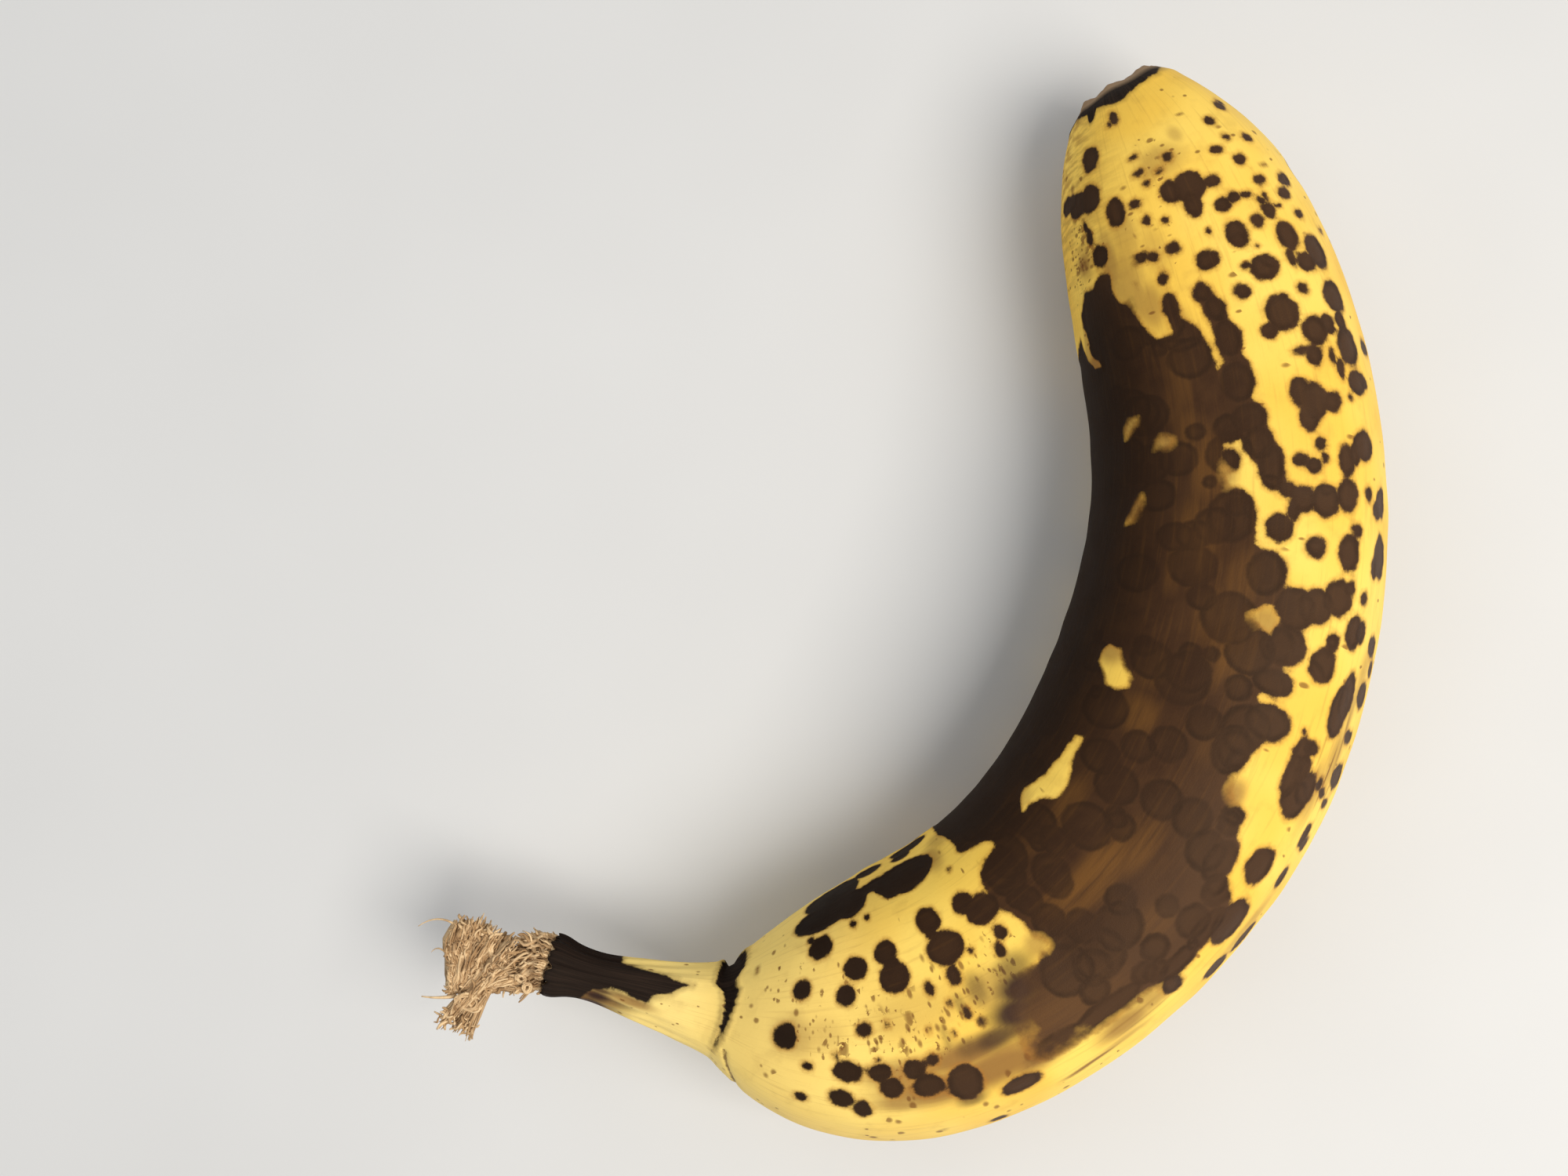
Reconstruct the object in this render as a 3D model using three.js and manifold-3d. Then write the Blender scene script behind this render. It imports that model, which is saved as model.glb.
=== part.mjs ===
// Overripe banana, picked and lying on its side.
//
// One grown piece in one closed skin: the torn stem with its frayed fibres, the neck with
// a split across its skin, the body with five blunt ridges, and the blossom end with its
// scar.  Its underside is pressed flat where it rests.
//
// Millimetres, +Z up.  +X runs from the stem to the blossom end and +Y points into the
// hollow of the bend.  The origin is on the table, under the middle of the footprint.

import * as THREE from 'three';
import * as BufferGeometryUtils from 'three/addons/utils/BufferGeometryUtils.js';
import Module from 'manifold-3d';

// ---- Driving dimensions ------------------------------------------------------------

const FLATTEN = 0.95;        // height of every section over its width
const ROUND_STEPS = 44;      // facets around the skin
const AXIS_STEP = 0.25;      // step along the middle line when its heading is summed

// The middle line and the skin around it, from the broken stem to the blossom scar.
// Each row: distance along the middle line, its heading in degrees from +X, half the
// width across the bend, and the gap between the skin and the table.  A gap below zero
// is skin that the table presses flat.
const PROFILE = [
  [0, -73, 3.6, 13.0],       // broken end of the stem
  [6, -72, 3.0, 13.8],
  [12, -71, 3.8, 13.2],
  [17, -71, 4.7, 12.4],
  [22, -69, 6.0, 11.0],      // neck
  [24, -67, 7.4, 9.8],
  [28, -62, 10.4, 6.8],
  [33, -56, 13.3, 3.8],      // shoulder
  [39, -50, 15.6, 1.2],
  [47, -38, 17.2, -0.2],
  [57, -27, 17.8, -0.4],     // body
  [67, -17, 18.2, -0.4],
  [77, -7, 18.7, -0.4],
  [92, 5, 19.2, -0.4],
  [107, 16, 18.9, -0.4],
  [122, 27, 18.5, -0.4],
  [137, 38, 17.8, -0.4],
  [152, 48, 16.8, -0.3],
  [162, 51.5, 15.7, 0.4],    // taper to the blossom end
  [170, 54, 14.0, 1.7],
  [177, 56, 11.0, 4.0],
  [182, 59, 7.8, 6.7],
  [184, 62, 5.6, 8.8],       // rim of the blossom scar
];
const LENGTH = PROFILE[PROFILE.length - 1][0];

// The five blunt ridges, in degrees around the section from the outside of the bend,
// counted up over the top.
const RIDGES = [0, 62, 143, 218, 298];
const RIDGE_RISE = 0.05;     // height of a ridge over the section's half width
const RIDGE_SPREAD = 22;     // degrees
const RIDGE_MEAN = 0.42;     // what the ridges add up to between them, on average

// The split across the neck: a shallow groove over the top and the inner side
const SPLIT = { station: 23.3, depth: 1.3, spread: 0.55, middle: 115, reach: 70 };

// The blossom scar: a dished end inside a thin rim
const SCAR = { rim: 0.86, inner: 0.74, depth: 0.9, dome: 0.5 };

// Where the skin has rings of points: close together at the stem, the split and the
// blossom end, and wider apart along the body.
const RINGS = [
  { from: 0, to: 20, step: 2.5 },
  { from: 20, to: 22, step: 1 },
  { from: 22, to: 25, step: 0.5 },
  { from: 25, to: 31, step: 1.5 },
  { from: 31, to: 172, step: 4.7 },
  { from: 172, to: 184, step: 1.5 },
];

// The frayed end of the stem.  Its shapes are drawn in the stem's own frame: the first
// number runs to the inner side of the bend, the second runs backwards from the broken
// end, along the stem, and a third runs up.
const SHEET_THICKNESS = 2.0;
const SHEET_OUTLINE = [
  [2.2, -0.5], [4.2, 1.0], [3.4, 2.0], [2.6, 3.2], [2.0, 5.0], [2.1, 6.2], [3.2, 7.4],
  [3.0, 9.8], [3.7, 10.6], [2.0, 12.0], [2.8, 12.4], [2.0, 13.2], [2.5, 14.0],
  [-0.4, 13.0], [-1.8, 14.6], [-2.6, 13.6], [-4.4, 12.2], [-6.6, 11.2], [-6.6, 8.6],
  [-5.2, 6.4], [-4.8, 4.8], [-3.8, 3.4], [-2.6, 2.4], [-2.6, -0.5],
];

// Bundles of fibre: where each one starts and ends, and its half width at the start
const BUNDLES = [
  { from: [0.4, -1.0, 0.2], to: [-1.0, 4.6, 0.6], radius: 2.6 },
  { from: [-0.6, -1.0, -0.6], to: [-2.4, 6.0, -1.0], radius: 2.2 },
  { from: [-3.0, 4.5, 0.3], to: [-10.6, 12.0, -0.8], radius: 1.5 },
  { from: [-3.2, 5.0, 0.5], to: [-10.8, 9.4, 0.2], radius: 1.3 },
  { from: [-2.8, 4.4, 0.8], to: [-11.2, 7.8, 0.9], radius: 1.1 },
  { from: [1.0, 3.0, 0.4], to: [2.2, 14.0, 1.6], radius: 1.2 },
  { from: [-0.5, 3.0, 0.6], to: [-1.6, 14.2, 1.2], radius: 1.2 },
];
const BUNDLE_SIDES = 10;
const BUNDLE_FLATTEN = 0.7;  // height of a bundle over its width
const BUNDLE_TIP = 0.3;      // width at the tip over width at the start

// ---- Shape of the middle line and the section ---------------------------------------

// A smooth curve through one column of the profile
function column(index, station) {
  const last = PROFILE.length - 2;
  let i = 0;
  while (i < last && station >= PROFILE[i + 1][0]) {
    i += 1;
  }
  const before = PROFILE[Math.max(i - 1, 0)];
  const a = PROFILE[i];
  const b = PROFILE[i + 1];
  const after = PROFILE[Math.min(i + 2, PROFILE.length - 1)];
  const span = b[0] - a[0];
  const t = (station - a[0]) / span;
  const slopeA = (b[index] - before[index]) / (b[0] - before[0]);
  const slopeB = (after[index] - a[index]) / (after[0] - a[0]);
  return a[index] * (1 + 2 * t) * (1 - t) ** 2
    + slopeA * span * t * (1 - t) ** 2
    + b[index] * t * t * (3 - 2 * t)
    - slopeB * span * t * t * (1 - t);
}

function heading(station) {
  return THREE.MathUtils.degToRad(column(1, station));
}

// The middle line from above: its heading summed in small steps
function middlePoint(station) {
  const steps = Math.max(1, Math.round(station / AXIS_STEP));
  const step = station / steps;
  const point = new THREE.Vector2(0, 0);
  for (let i = 0; i < steps; i += 1) {
    const turn = heading((i + 0.5) * step);
    point.x += Math.cos(turn) * step;
    point.y += Math.sin(turn) * step;
  }
  return point;
}

// Smallest angle between two directions, degrees
function angleBetween(a, b) {
  return Math.abs(((a - b + 540) % 360) - 180);
}

// The five-ridged section: 1 on average
function sectionRadius(degrees) {
  let sum = 0;
  for (const ridge of RIDGES) {
    sum += Math.exp(-((angleBetween(degrees, ridge) / RIDGE_SPREAD) ** 2));
  }
  return 1 + RIDGE_RISE * (sum - RIDGE_MEAN);
}

// How deep the split across the neck is
function splitDepth(station, degrees) {
  const along = Math.exp(-(((station - SPLIT.station) / SPLIT.spread) ** 2));
  const around = angleBetween(degrees, SPLIT.middle) / SPLIT.reach;
  return SPLIT.depth * along * Math.max(0, 1 - around ** 4);
}

// A frame that travels along the middle line: its point, the direction out of the bend,
// and its height over the table
function frameAt(station) {
  const turn = heading(station);
  const point = middlePoint(station);
  const half = column(2, station);
  const height = column(3, station) + half * FLATTEN * sectionRadius(270);
  return {
    point,
    half,
    height,
    outward: new THREE.Vector2(Math.sin(turn), -Math.cos(turn)),
    forward: new THREE.Vector2(Math.cos(turn), Math.sin(turn)),
  };
}

// ---- Solids -------------------------------------------------------------------------

const wasm = await Module();
wasm.setup();

function toSolid(geometry) {
  const bare = geometry.clone();
  bare.deleteAttribute('normal');
  bare.deleteAttribute('uv');
  const merged = BufferGeometryUtils.mergeVertices(bare, 1e-4);
  const mesh = new wasm.Mesh({
    numProp: 3,
    vertProperties: new Float32Array(merged.attributes.position.array),
    triVerts: new Uint32Array(merged.index.array),
  });
  return new wasm.Manifold(mesh);
}

function toGeometry(solid) {
  const mesh = solid.getMesh();
  const geometry = new THREE.BufferGeometry();
  geometry.setAttribute('position', new THREE.BufferAttribute(mesh.vertProperties, 3));
  geometry.setIndex(new THREE.BufferAttribute(mesh.triVerts, 1));
  return geometry;
}

// Stations of the rings of points, both ends included
function ringStations() {
  const stations = [0];
  for (const { from, to, step } of RINGS) {
    const count = Math.round((to - from) / step);
    for (let i = 1; i <= count; i += 1) {
      stations.push(from + ((to - from) * i) / count);
    }
  }
  return stations;
}

// The skin: a unit tube from LatheGeometry, closed at both ends, bent onto the middle
// line and given its section.  The lathe's radius is the share of the skin's radius and
// its height is the station.
function skinGeometry() {
  const profile = [new THREE.Vector2(0, 0)];
  for (const station of ringStations()) {
    profile.push(new THREE.Vector2(1, station));
  }
  profile.push(new THREE.Vector2(SCAR.rim, LENGTH + 0.2));
  profile.push(new THREE.Vector2(SCAR.inner, LENGTH - SCAR.depth));
  profile.push(new THREE.Vector2(0, LENGTH - SCAR.depth + SCAR.dome));
  const geometry = new THREE.LatheGeometry(profile, ROUND_STEPS);
  const frames = new Map();
  const positions = geometry.attributes.position;
  for (let i = 0; i < positions.count; i += 1) {
    const x = positions.getX(i);
    const z = positions.getZ(i);
    const station = positions.getY(i);
    const share = Math.hypot(x, z);
    const degrees = (THREE.MathUtils.radToDeg(Math.atan2(z, x)) + 360) % 360;
    if (!frames.has(station)) {
      frames.set(station, frameAt(Math.min(station, LENGTH)));
    }
    const { point, half, height, outward, forward } = frames.get(station);
    const radius = share * (half * sectionRadius(degrees) - splitDepth(station, degrees));
    const across = radius * Math.cos(THREE.MathUtils.degToRad(degrees));
    const up = radius * Math.sin(THREE.MathUtils.degToRad(degrees));
    const past = Math.max(0, station - LENGTH);
    positions.setXYZ(
      i,
      point.x + outward.x * across + forward.x * past,
      point.y + outward.y * across + forward.y * past,
      height + up * FLATTEN,
    );
  }
  return geometry;
}

// Puts a shape drawn in the stem's own frame at the stem
function placeAtStem(geometry) {
  const { point, height, outward, forward } = frameAt(0);
  const matrix = new THREE.Matrix4().makeBasis(
    new THREE.Vector3(-outward.x, -outward.y, 0),
    new THREE.Vector3(-forward.x, -forward.y, 0),
    new THREE.Vector3(0, 0, 1),
  );
  matrix.setPosition(point.x, point.y, height);
  return geometry.applyMatrix4(matrix);
}

// The torn sheet of fibre, with a ragged outline
function sheetGeometry() {
  const outline = new THREE.Shape(SHEET_OUTLINE.map((point) => new THREE.Vector2(...point)));
  const geometry = new THREE.ExtrudeGeometry(outline, {
    depth: SHEET_THICKNESS,
    bevelEnabled: false,
    steps: 1,
  });
  geometry.translate(0, 0, -SHEET_THICKNESS / 2);
  return placeAtStem(geometry);
}

// One bundle of fibre: a flattened bar that narrows to its tip
function bundleGeometry({ from, to, radius }) {
  const start = new THREE.Vector3(...from);
  const end = new THREE.Vector3(...to);
  const length = start.distanceTo(end);
  const geometry = new THREE.LatheGeometry(
    [
      new THREE.Vector2(0, 0),
      new THREE.Vector2(radius, 0),
      new THREE.Vector2(radius * 0.8, length * 0.5),
      new THREE.Vector2(radius * BUNDLE_TIP, length),
      new THREE.Vector2(0, length),
    ],
    BUNDLE_SIDES,
  );
  const along = end.clone().sub(start).normalize();
  const side = new THREE.Vector3(0, 0, 1).cross(along).normalize();
  const up = along.clone().cross(side).multiplyScalar(BUNDLE_FLATTEN);
  geometry.applyMatrix4(new THREE.Matrix4().makeBasis(up, along, side));
  geometry.translate(start.x, start.y, start.z);
  return placeAtStem(geometry);
}

// Everything below the table: what the skin loses where it is pressed flat
function belowTable() {
  const slab = new THREE.BoxGeometry(400, 400, 20);
  slab.translate(0, 0, -10);
  return slab;
}

function bananaGeometry() {
  let solid = toSolid(skinGeometry()).subtract(toSolid(belowTable()));
  solid = solid.add(toSolid(sheetGeometry()));
  for (const bundle of BUNDLES) {
    solid = solid.add(toSolid(bundleGeometry(bundle)));
  }
  const geometry = toGeometry(solid);
  geometry.computeBoundingBox();
  const middle = geometry.boundingBox.getCenter(new THREE.Vector3());
  geometry.translate(-middle.x, -middle.y, -geometry.boundingBox.min.z);
  return geometry;
}

// ---- Part ---------------------------------------------------------------------------

function makeBanana() {
  const skin = new THREE.MeshStandardMaterial({
    color: 0xd9a93c,
    roughness: 0.5,
    metalness: 0,
  });
  const banana = new THREE.Mesh(bananaGeometry(), skin);
  banana.name = 'banana';
  return banana;
}

const part = new THREE.Group();
part.name = 'overripe_banana';
part.add(makeBanana());

export default part;
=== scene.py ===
"""An overripe banana lying on its side: the looks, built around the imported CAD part.

The skin is a fine loft along the fruit's middle line, with the same profile as the CAD
solid that it stands for.  Places on it are given by a station (mm along the middle line,
from the broken end of the stem) and an angle (degrees around the section: 0 on the outside
of the bend, 90 on top, 180 in the hollow of the bend).  The pattern of the peel is worked
out at the skin's points as distances to spots and outlines, and the material draws its
edges from those distances.
"""

import math

import bpy
import numpy as np
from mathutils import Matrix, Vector


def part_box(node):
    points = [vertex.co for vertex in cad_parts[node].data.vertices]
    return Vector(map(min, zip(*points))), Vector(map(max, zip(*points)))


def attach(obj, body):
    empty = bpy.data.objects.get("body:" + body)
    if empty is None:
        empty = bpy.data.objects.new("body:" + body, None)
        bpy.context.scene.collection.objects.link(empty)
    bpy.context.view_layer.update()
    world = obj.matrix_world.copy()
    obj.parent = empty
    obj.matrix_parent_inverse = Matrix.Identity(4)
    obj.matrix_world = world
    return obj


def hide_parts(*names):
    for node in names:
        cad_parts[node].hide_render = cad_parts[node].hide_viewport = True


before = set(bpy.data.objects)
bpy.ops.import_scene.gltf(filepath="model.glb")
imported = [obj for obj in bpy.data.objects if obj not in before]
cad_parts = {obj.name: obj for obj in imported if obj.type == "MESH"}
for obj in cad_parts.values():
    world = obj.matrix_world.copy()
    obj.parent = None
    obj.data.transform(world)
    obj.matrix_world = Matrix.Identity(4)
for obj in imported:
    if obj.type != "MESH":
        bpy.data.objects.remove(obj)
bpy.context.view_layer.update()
CAD_LOW, CAD_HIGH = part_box("banana")

MM = 0.001

# ---- Sizes, mm and degrees -----------------------------------------------------------

FLATTEN = 0.95  # height of every section over its width

# Distance along the middle line, its heading from +X, half the width across the bend,
# and the gap between the skin and the table (below zero: pressed flat)
PROFILE = np.array(
    [
        (0, -73, 3.6, 13.0),
        (6, -72, 3.0, 13.8),
        (12, -71, 3.8, 13.2),
        (17, -71, 4.7, 12.4),
        (22, -69, 6.0, 11.0),
        (24, -67, 7.4, 9.8),
        (28, -62, 10.4, 6.8),
        (33, -56, 13.3, 3.8),
        (39, -50, 15.6, 1.2),
        (47, -38, 17.2, -0.2),
        (57, -27, 17.8, -0.4),
        (67, -17, 18.2, -0.4),
        (77, -7, 18.7, -0.4),
        (92, 5, 19.2, -0.4),
        (107, 16, 18.9, -0.4),
        (122, 27, 18.5, -0.4),
        (137, 38, 17.8, -0.4),
        (152, 48, 16.8, -0.3),
        (162, 51.5, 15.7, 0.4),
        (170, 54, 14.0, 1.7),
        (177, 56, 11.0, 4.0),
        (182, 59, 7.8, 6.7),
        (184, 62, 5.6, 8.8),
    ],
    float,
)
STATION, HEADING, HALF_WIDTH, GAP = range(4)
LENGTH = PROFILE[-1, STATION]
GIRTH = 112.0  # mm around the full part of the fruit

RIDGES = (0, 62, 143, 218, 298)
RIDGE_RISE = 0.05
RIDGE_SPREAD = 22
RIDGE_MEAN = 0.42

# Rings of points along the skin: from, to, spacing in mm
RINGS = ((0, 20, 0.5), (20, 26, 0.24), (26, 172, 0.58), (172, 184, 0.38))

# Rows at the two ends: station, share of the radius, paper (1 on the scar's dry lip),
# torn (1 on the stem's torn end)
TORN_ROWS = (
    (0.9, 0.0, 0, 1), (0.8, 0.35, 0, 1), (0.6, 0.65, 0, 1), (0.3, 0.86, 0, 0.6), (0, 0.97, 0, 0),
)
SCAR_ROWS = (
    (184.25, 0.97, 1, 0), (184.45, 0.93, 1, 0), (184.5, 0.90, 1, 0), (184.4, 0.865, 1, 0),
    (184.1, 0.84, 0.8, 0), (183.6, 0.80, 0.5, 0), (183.1, 0.74, 0.2, 0), (182.8, 0.62, 0, 0),
    (182.7, 0.45, 0, 0), (182.9, 0.25, 0, 0), (183.0, 0.0, 0, 0),
)

# Points around the skin, closer together on the upper side: from, to, spacing in degrees
AROUND = ((-12, 200, 1.0), (200, 348, 2.5))

# The camera looks straight down; PHOTO_TURN is its turn about the vertical, clockwise
PHOTO_TURN = 57.0
LENS = 30.0
SENSOR = 36.0
CAMERA_OVER_FRUIT = 166.7  # from the lens down to the fruit's middle height
MIDDLE_HEIGHT = 18.0
CAMERA_PLACE = (57.0, 1.25)  # in the profile's own frame

# Square lamps: mm right and up from the fruit's middle as the camera sees it, height mm,
# size mm and watts
KEY_LAMP = (260, -120, 520, 420, 3.6)
FILL_LAMP = (-420, 260, 420, 600, 0.9)
KEY_TINT = (1.0, 0.965, 0.91)
FILL_TINT = (0.92, 0.96, 1.0)
SKY_TINT = (0.93, 0.96, 1.0, 1)
SKY_STRENGTH = 0.42
FLOOR_HALF = 12.0  # metres
FLOOR_DROP = 0.0001  # metres, so that the pressed underside and the floor don't coincide

# How far the skin's relief rises or sinks, and how ragged its torn edges are, mm
LUMP_RISE = 0.22
RIPPLE_RISE = 0.05
WRINKLE_RISE, FINE_WRINKLE_RISE = 0.16, 0.08
COLLAR_RISE = 0.35
SPLIT_DEPTH, SPLIT_LIP_RISE, SPLIT_RAGGED = 1.0, 0.16, 0.16
SPOT_SINK = 0.10
CREASE_DEPTH = 0.28
RIM_RISE = 0.12
TORN_RAGGED = 0.45
SCAR_RAGGED, SCAR_LOWERED, LIP_RAGGED = 0.34, 0.15, 0.20

# ---- The peel's pattern --------------------------------------------------------------

# Round dark spots: station, angle, half length along the fruit in mm, half length around
# it in degrees
SPOTS = (
    # the neck half
    (33.1, 119.5, 1.3, 5.3), (36, 138, 1.8, 6.3), (34.6, 143.5, 0.6, 2.5), (30.8, 95, 1.5, 6.5),
    (31.3, 99.5, 0.8, 3.5), (53.6, 126, 0.9, 3.2), (46.6, 121.5, 1.2, 2.6), (40.9, 124, 1.9, 5),
    (38.9, 113.5, 1.4, 5), (46.1, 126.5, 1.9, 4.8), (46.3, 116.3, 2.3, 6.4),
    (54, 131.3, 1.9, 5.6), (54.5, 119, 2.7, 6.8), (59.8, 130, 1.7, 4.6), (61.8, 124, 2.6, 5.8),
    (53.8, 108, 1, 4.2), (50.2, 107.5, 0.6, 3), (60.6, 108, 0.7, 3), (62, 113.5, 0.9, 3.3),
    (41.9, 143.4, 0.8, 2), (44.9, 143.8, 0.6, 1.7), (61, 145.3, 0.4, 1.3), (40.6, 98.5, 1, 3),
    (43.6, 99, 0.4, 1.8), (33.5, 81.5, 0.6, 2.5), (38, 80.6, 1.7, 5), (41.6, 80, 1.3, 4.2),
    (42.5, 73, 1.2, 5), (45.2, 79, 1.2, 4.2), (47.5, 81.5, 0.7, 2.5), (46.2, 71.3, 1.7, 5),
    (49.9, 68, 1.9, 8.5), (37.1, 67.5, 1.4, 4.7), (32.7, 63.2, 0.7, 2.9), (39.2, 62.6, 1, 4.8),
    (55, 56, 2.2, 5.4), (36.8, 88, 0.3, 1.8), (41.6, 85, 0.3, 1.2), (50.8, 88, 0.3, 1.2),
    (53.3, 93.5, 0.5, 2.4), (54.3, 88.5, 0.4, 1.8), (57.5, 113.5, 0.4, 1.3),
    (48.3, 92.5, 0.3, 1.4), (51.8, 99.5, 0.3, 1.3), (51.4, 26, 0.9, 5),
    # the middle, on the outer side
    (72.9, 55, 1.2, 6), (81.4, 54.8, 2.8, 7.8), (87.8, 60, 2.2, 6.3), (95.5, 60.5, 2.2, 6.5),
    (97, 57.5, 1.9, 5.4), (97.5, 66, 2.5, 4), (98.6, 63, 1.6, 3.6), (100, 66, 1.9, 4),
    (101, 62.5, 0.8, 3.8), (98, 50.5, 0.8, 2.5), (102.4, 68, 0.35, 1), (105.6, 54, 2.9, 6),
    (107.2, 50.5, 2.7, 5.4), (88, 40, 1.2, 4), (92.8, 42, 1.4, 3.6), (92, 37, 0.8, 4),
    (77, 34, 1.6, 7), (81, 31, 2, 5), (96.5, 36, 0.5, 4), (97.3, 45, 0.5, 3.6),
    (99.5, 34, 1.4, 8), (103.5, 37, 0.8, 6), (108, 34, 1.4, 7), (113, 35, 1.2, 6.5),
    (110.8, 29, 0.8, 5), (109.6, 68, 2, 5.8), (111.3, 66.5, 0.9, 2), (112.2, 66, 1, 2.9),
    (113.8, 56, 1.9, 5), (114, 51, 1.3, 3.5), (117.5, 52.5, 0.7, 3), (122, 77.7, 1.2, 4.1),
    (121.8, 63.6, 2, 5.1), (124.3, 60.5, 0.7, 3.2), (120.8, 46, 1.2, 3.5), (122, 40, 2.3, 7.5),
    (126.7, 45, 1, 4.5), (127.5, 40, 1.6, 6.5), (128.2, 53.2, 0.8, 3),
    # the tip half
    (123.8, 91.3, 1.7, 5.4), (125.8, 86.5, 1.2, 2.6), (127.2, 83, 1.6, 5),
    (127.2, 74.5, 1.9, 5.8), (127.9, 65.3, 1.9, 5), (131.7, 83.5, 0.8, 3.3),
    (131, 78.8, 0.9, 3.5), (131.8, 74.5, 0.5, 1.4), (133.4, 75.7, 0.8, 2.5),
    (139.3, 81, 1.8, 4.3), (136.6, 79, 1.8, 4), (138.2, 76, 2.1, 5), (138, 69.5, 1.2, 4.5),
    (131.6, 65.3, 1.8, 3.8), (132.3, 61, 1.2, 3), (133.2, 55.5, 1.7, 6.8),
    (138.3, 60, 0.4, 1.5), (139.9, 53.5, 1.4, 6.6), (139.8, 48, 0.7, 3), (141.5, 62.5, 1.3, 2),
    (143, 65.5, 0.9, 1.8), (143.2, 73, 1.2, 3.5), (144, 78, 0.5, 3.6), (146, 70, 1.7, 5.6),
    (146.4, 63.5, 1.2, 3.8), (143.8, 55, 2.1, 7), (146.6, 55.5, 1.2, 3.6),
    (149.4, 54, 1.9, 6.8), (146.9, 87.5, 1.1, 3.4), (148.7, 81, 2.2, 6.7),
    (152.3, 93.2, 1, 3.6), (157.1, 102.3, 1.3, 5.2), (160.5, 98, 0.4, 1.2),
    (154.3, 81.5, 1.6, 6.1), (155.1, 88, 0.4, 2.6), (157, 81, 0.25, 0.8),
    (159.1, 87.2, 1.8, 4.8), (163, 88, 0.9, 3.9), (163.4, 82, 0.7, 3.2),
    (163.3, 76.5, 0.35, 2.5), (159.9, 76.5, 0.9, 3.3), (160.7, 69.3, 1, 3.4), (162, 71, 0.7, 2),
    (162.5, 68, 0.5, 1.6), (161, 64, 0.3, 2), (164.6, 66.3, 0.7, 3.7), (167.7, 70.5, 0.8, 3.6),
    (169.7, 78.8, 0.6, 3.3), (170.8, 69.7, 0.5, 2.6), (173.5, 71.2, 0.7, 3.4),
    (170, 58, 0.7, 3.6), (175.2, 55, 0.7, 5), (175.8, 50, 0.5, 3), (150.9, 69.3, 0.7, 2.7),
    (157.2, 66.5, 1.9, 5.1), (154.6, 69.3, 1.2, 2), (153.7, 62.5, 1.2, 5),
    (154.8, 53.5, 2.2, 6.8), (159.5, 53.3, 0.6, 3.4), (162.3, 56, 0.8, 4.4),
    (164, 49.5, 0.9, 5.8), (143.8, 33, 0.9, 7), (157.3, 37, 0.4, 3.5), (166.8, 107, 1.5, 5.2),
    (166.5, 98.5, 2, 8), (164.3, 100, 1.7, 4.2), (166.2, 88, 0.8, 4.4), (171.1, 102, 0.7, 2.9),
    (169.9, 108.3, 0.4, 2.5), (170.7, 118, 0.5, 3), (173, 117.8, 0.4, 2.9),
    (169, 115.8, 0.4, 1.9), (167.1, 124, 0.7, 2.9), (164.6, 121.4, 0.7, 2.2),
    (163.7, 113.8, 0.45, 1.8), (160, 114, 0.8, 3.4), (156.9, 121.5, 0.9, 2.5),
    (159.8, 123, 0.7, 2.7), (160.4, 128, 0.8, 3.2), (167.3, 133.8, 2, 4.7),
    (175.7, 143, 1.7, 6.6), (170.7, 147, 1.9, 7.6), (171, 158, 1.7, 10), (172, 171, 1.2, 12),
    (162.9, 147.2, 1.5, 5.1), (166, 151, 1.2, 2.5), (167.6, 153.3, 0.8, 1.8),
    (179.3, 121.5, 1.1, 3.4), (178.8, 125.5, 0.5, 2.4),
    # the hollow of the bend, near the neck
    (37, 157.5, 5, 10.8), (42, 158, 4, 10.8), (39.5, 175, 5.5, 16), (53.5, 158.5, 6, 11.5),
    (49.5, 162, 4, 6), (50.5, 152, 1.8, 4.5), (46.3, 161.5, 2, 4.5), (47.5, 182, 3, 6),
    (54.5, 178, 2, 4), (56.5, 186, 4, 7),
)

# The one big patch where spots have run together: station, angle
BIG_PATCH = (
    (62.5, 206), (62.5, 172), (63.5, 164), (64, 155), (63.5, 150), (65, 146.5), (67.5, 145),
    (69.4, 141.5), (69.4, 139.5), (66.5, 138), (64.8, 136), (63.8, 131), (64, 120), (65.2, 112),
    (65.2, 105), (66.2, 100), (64, 97), (61, 96), (59.5, 90), (57.6, 80), (57, 70), (58.3, 64),
    (61.5, 62.3), (66, 61.3), (70, 62.3), (72, 60), (74, 58), (77, 57.7), (79, 59), (83.3, 62),
    (85.2, 70.5), (88.5, 73), (90.5, 77), (93, 83.5), (95.3, 86.5), (97, 84.5), (99.8, 80),
    (104.2, 88), (108, 82.5), (113.2, 86.5), (116.8, 88), (119.5, 88.2), (120.8, 92),
    (121.4, 99.3), (124.5, 100.3), (127.5, 101.5), (128.4, 106), (128.7, 110.5), (131, 112.3),
    (134.4, 111), (134.6, 104.8), (133, 101.6), (130.3, 98.3), (128.4, 94.5), (128.5, 89.3),
    (132, 90), (135, 93.8), (137.5, 96), (139.5, 99.3), (141.6, 98.6), (143.6, 97.2),
    (145, 99.6), (147.7, 98.3), (149, 102.5), (151.3, 101.3), (152.8, 104.5), (154.8, 107.5),
    (154.2, 111.8), (151.5, 109.7), (148.5, 107.7), (144, 107), (143.5, 109.8), (147, 110.8),
    (150, 114.5), (151.3, 119.3), (153.7, 118.8), (155, 121.8), (153.2, 124.2), (149.7, 123.5),
    (149.5, 130), (152, 134.5), (155.5, 138), (156, 142), (157.5, 144), (160, 143.3),
    (160.8, 149), (159.4, 156), (159.5, 165), (157, 173), (155.2, 173.5), (154, 170),
    (151.2, 169.5), (150, 167), (149.2, 161.5), (148.4, 161.5), (148.6, 167), (150.5, 174),
    (154, 181), (151, 204),
)

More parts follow.
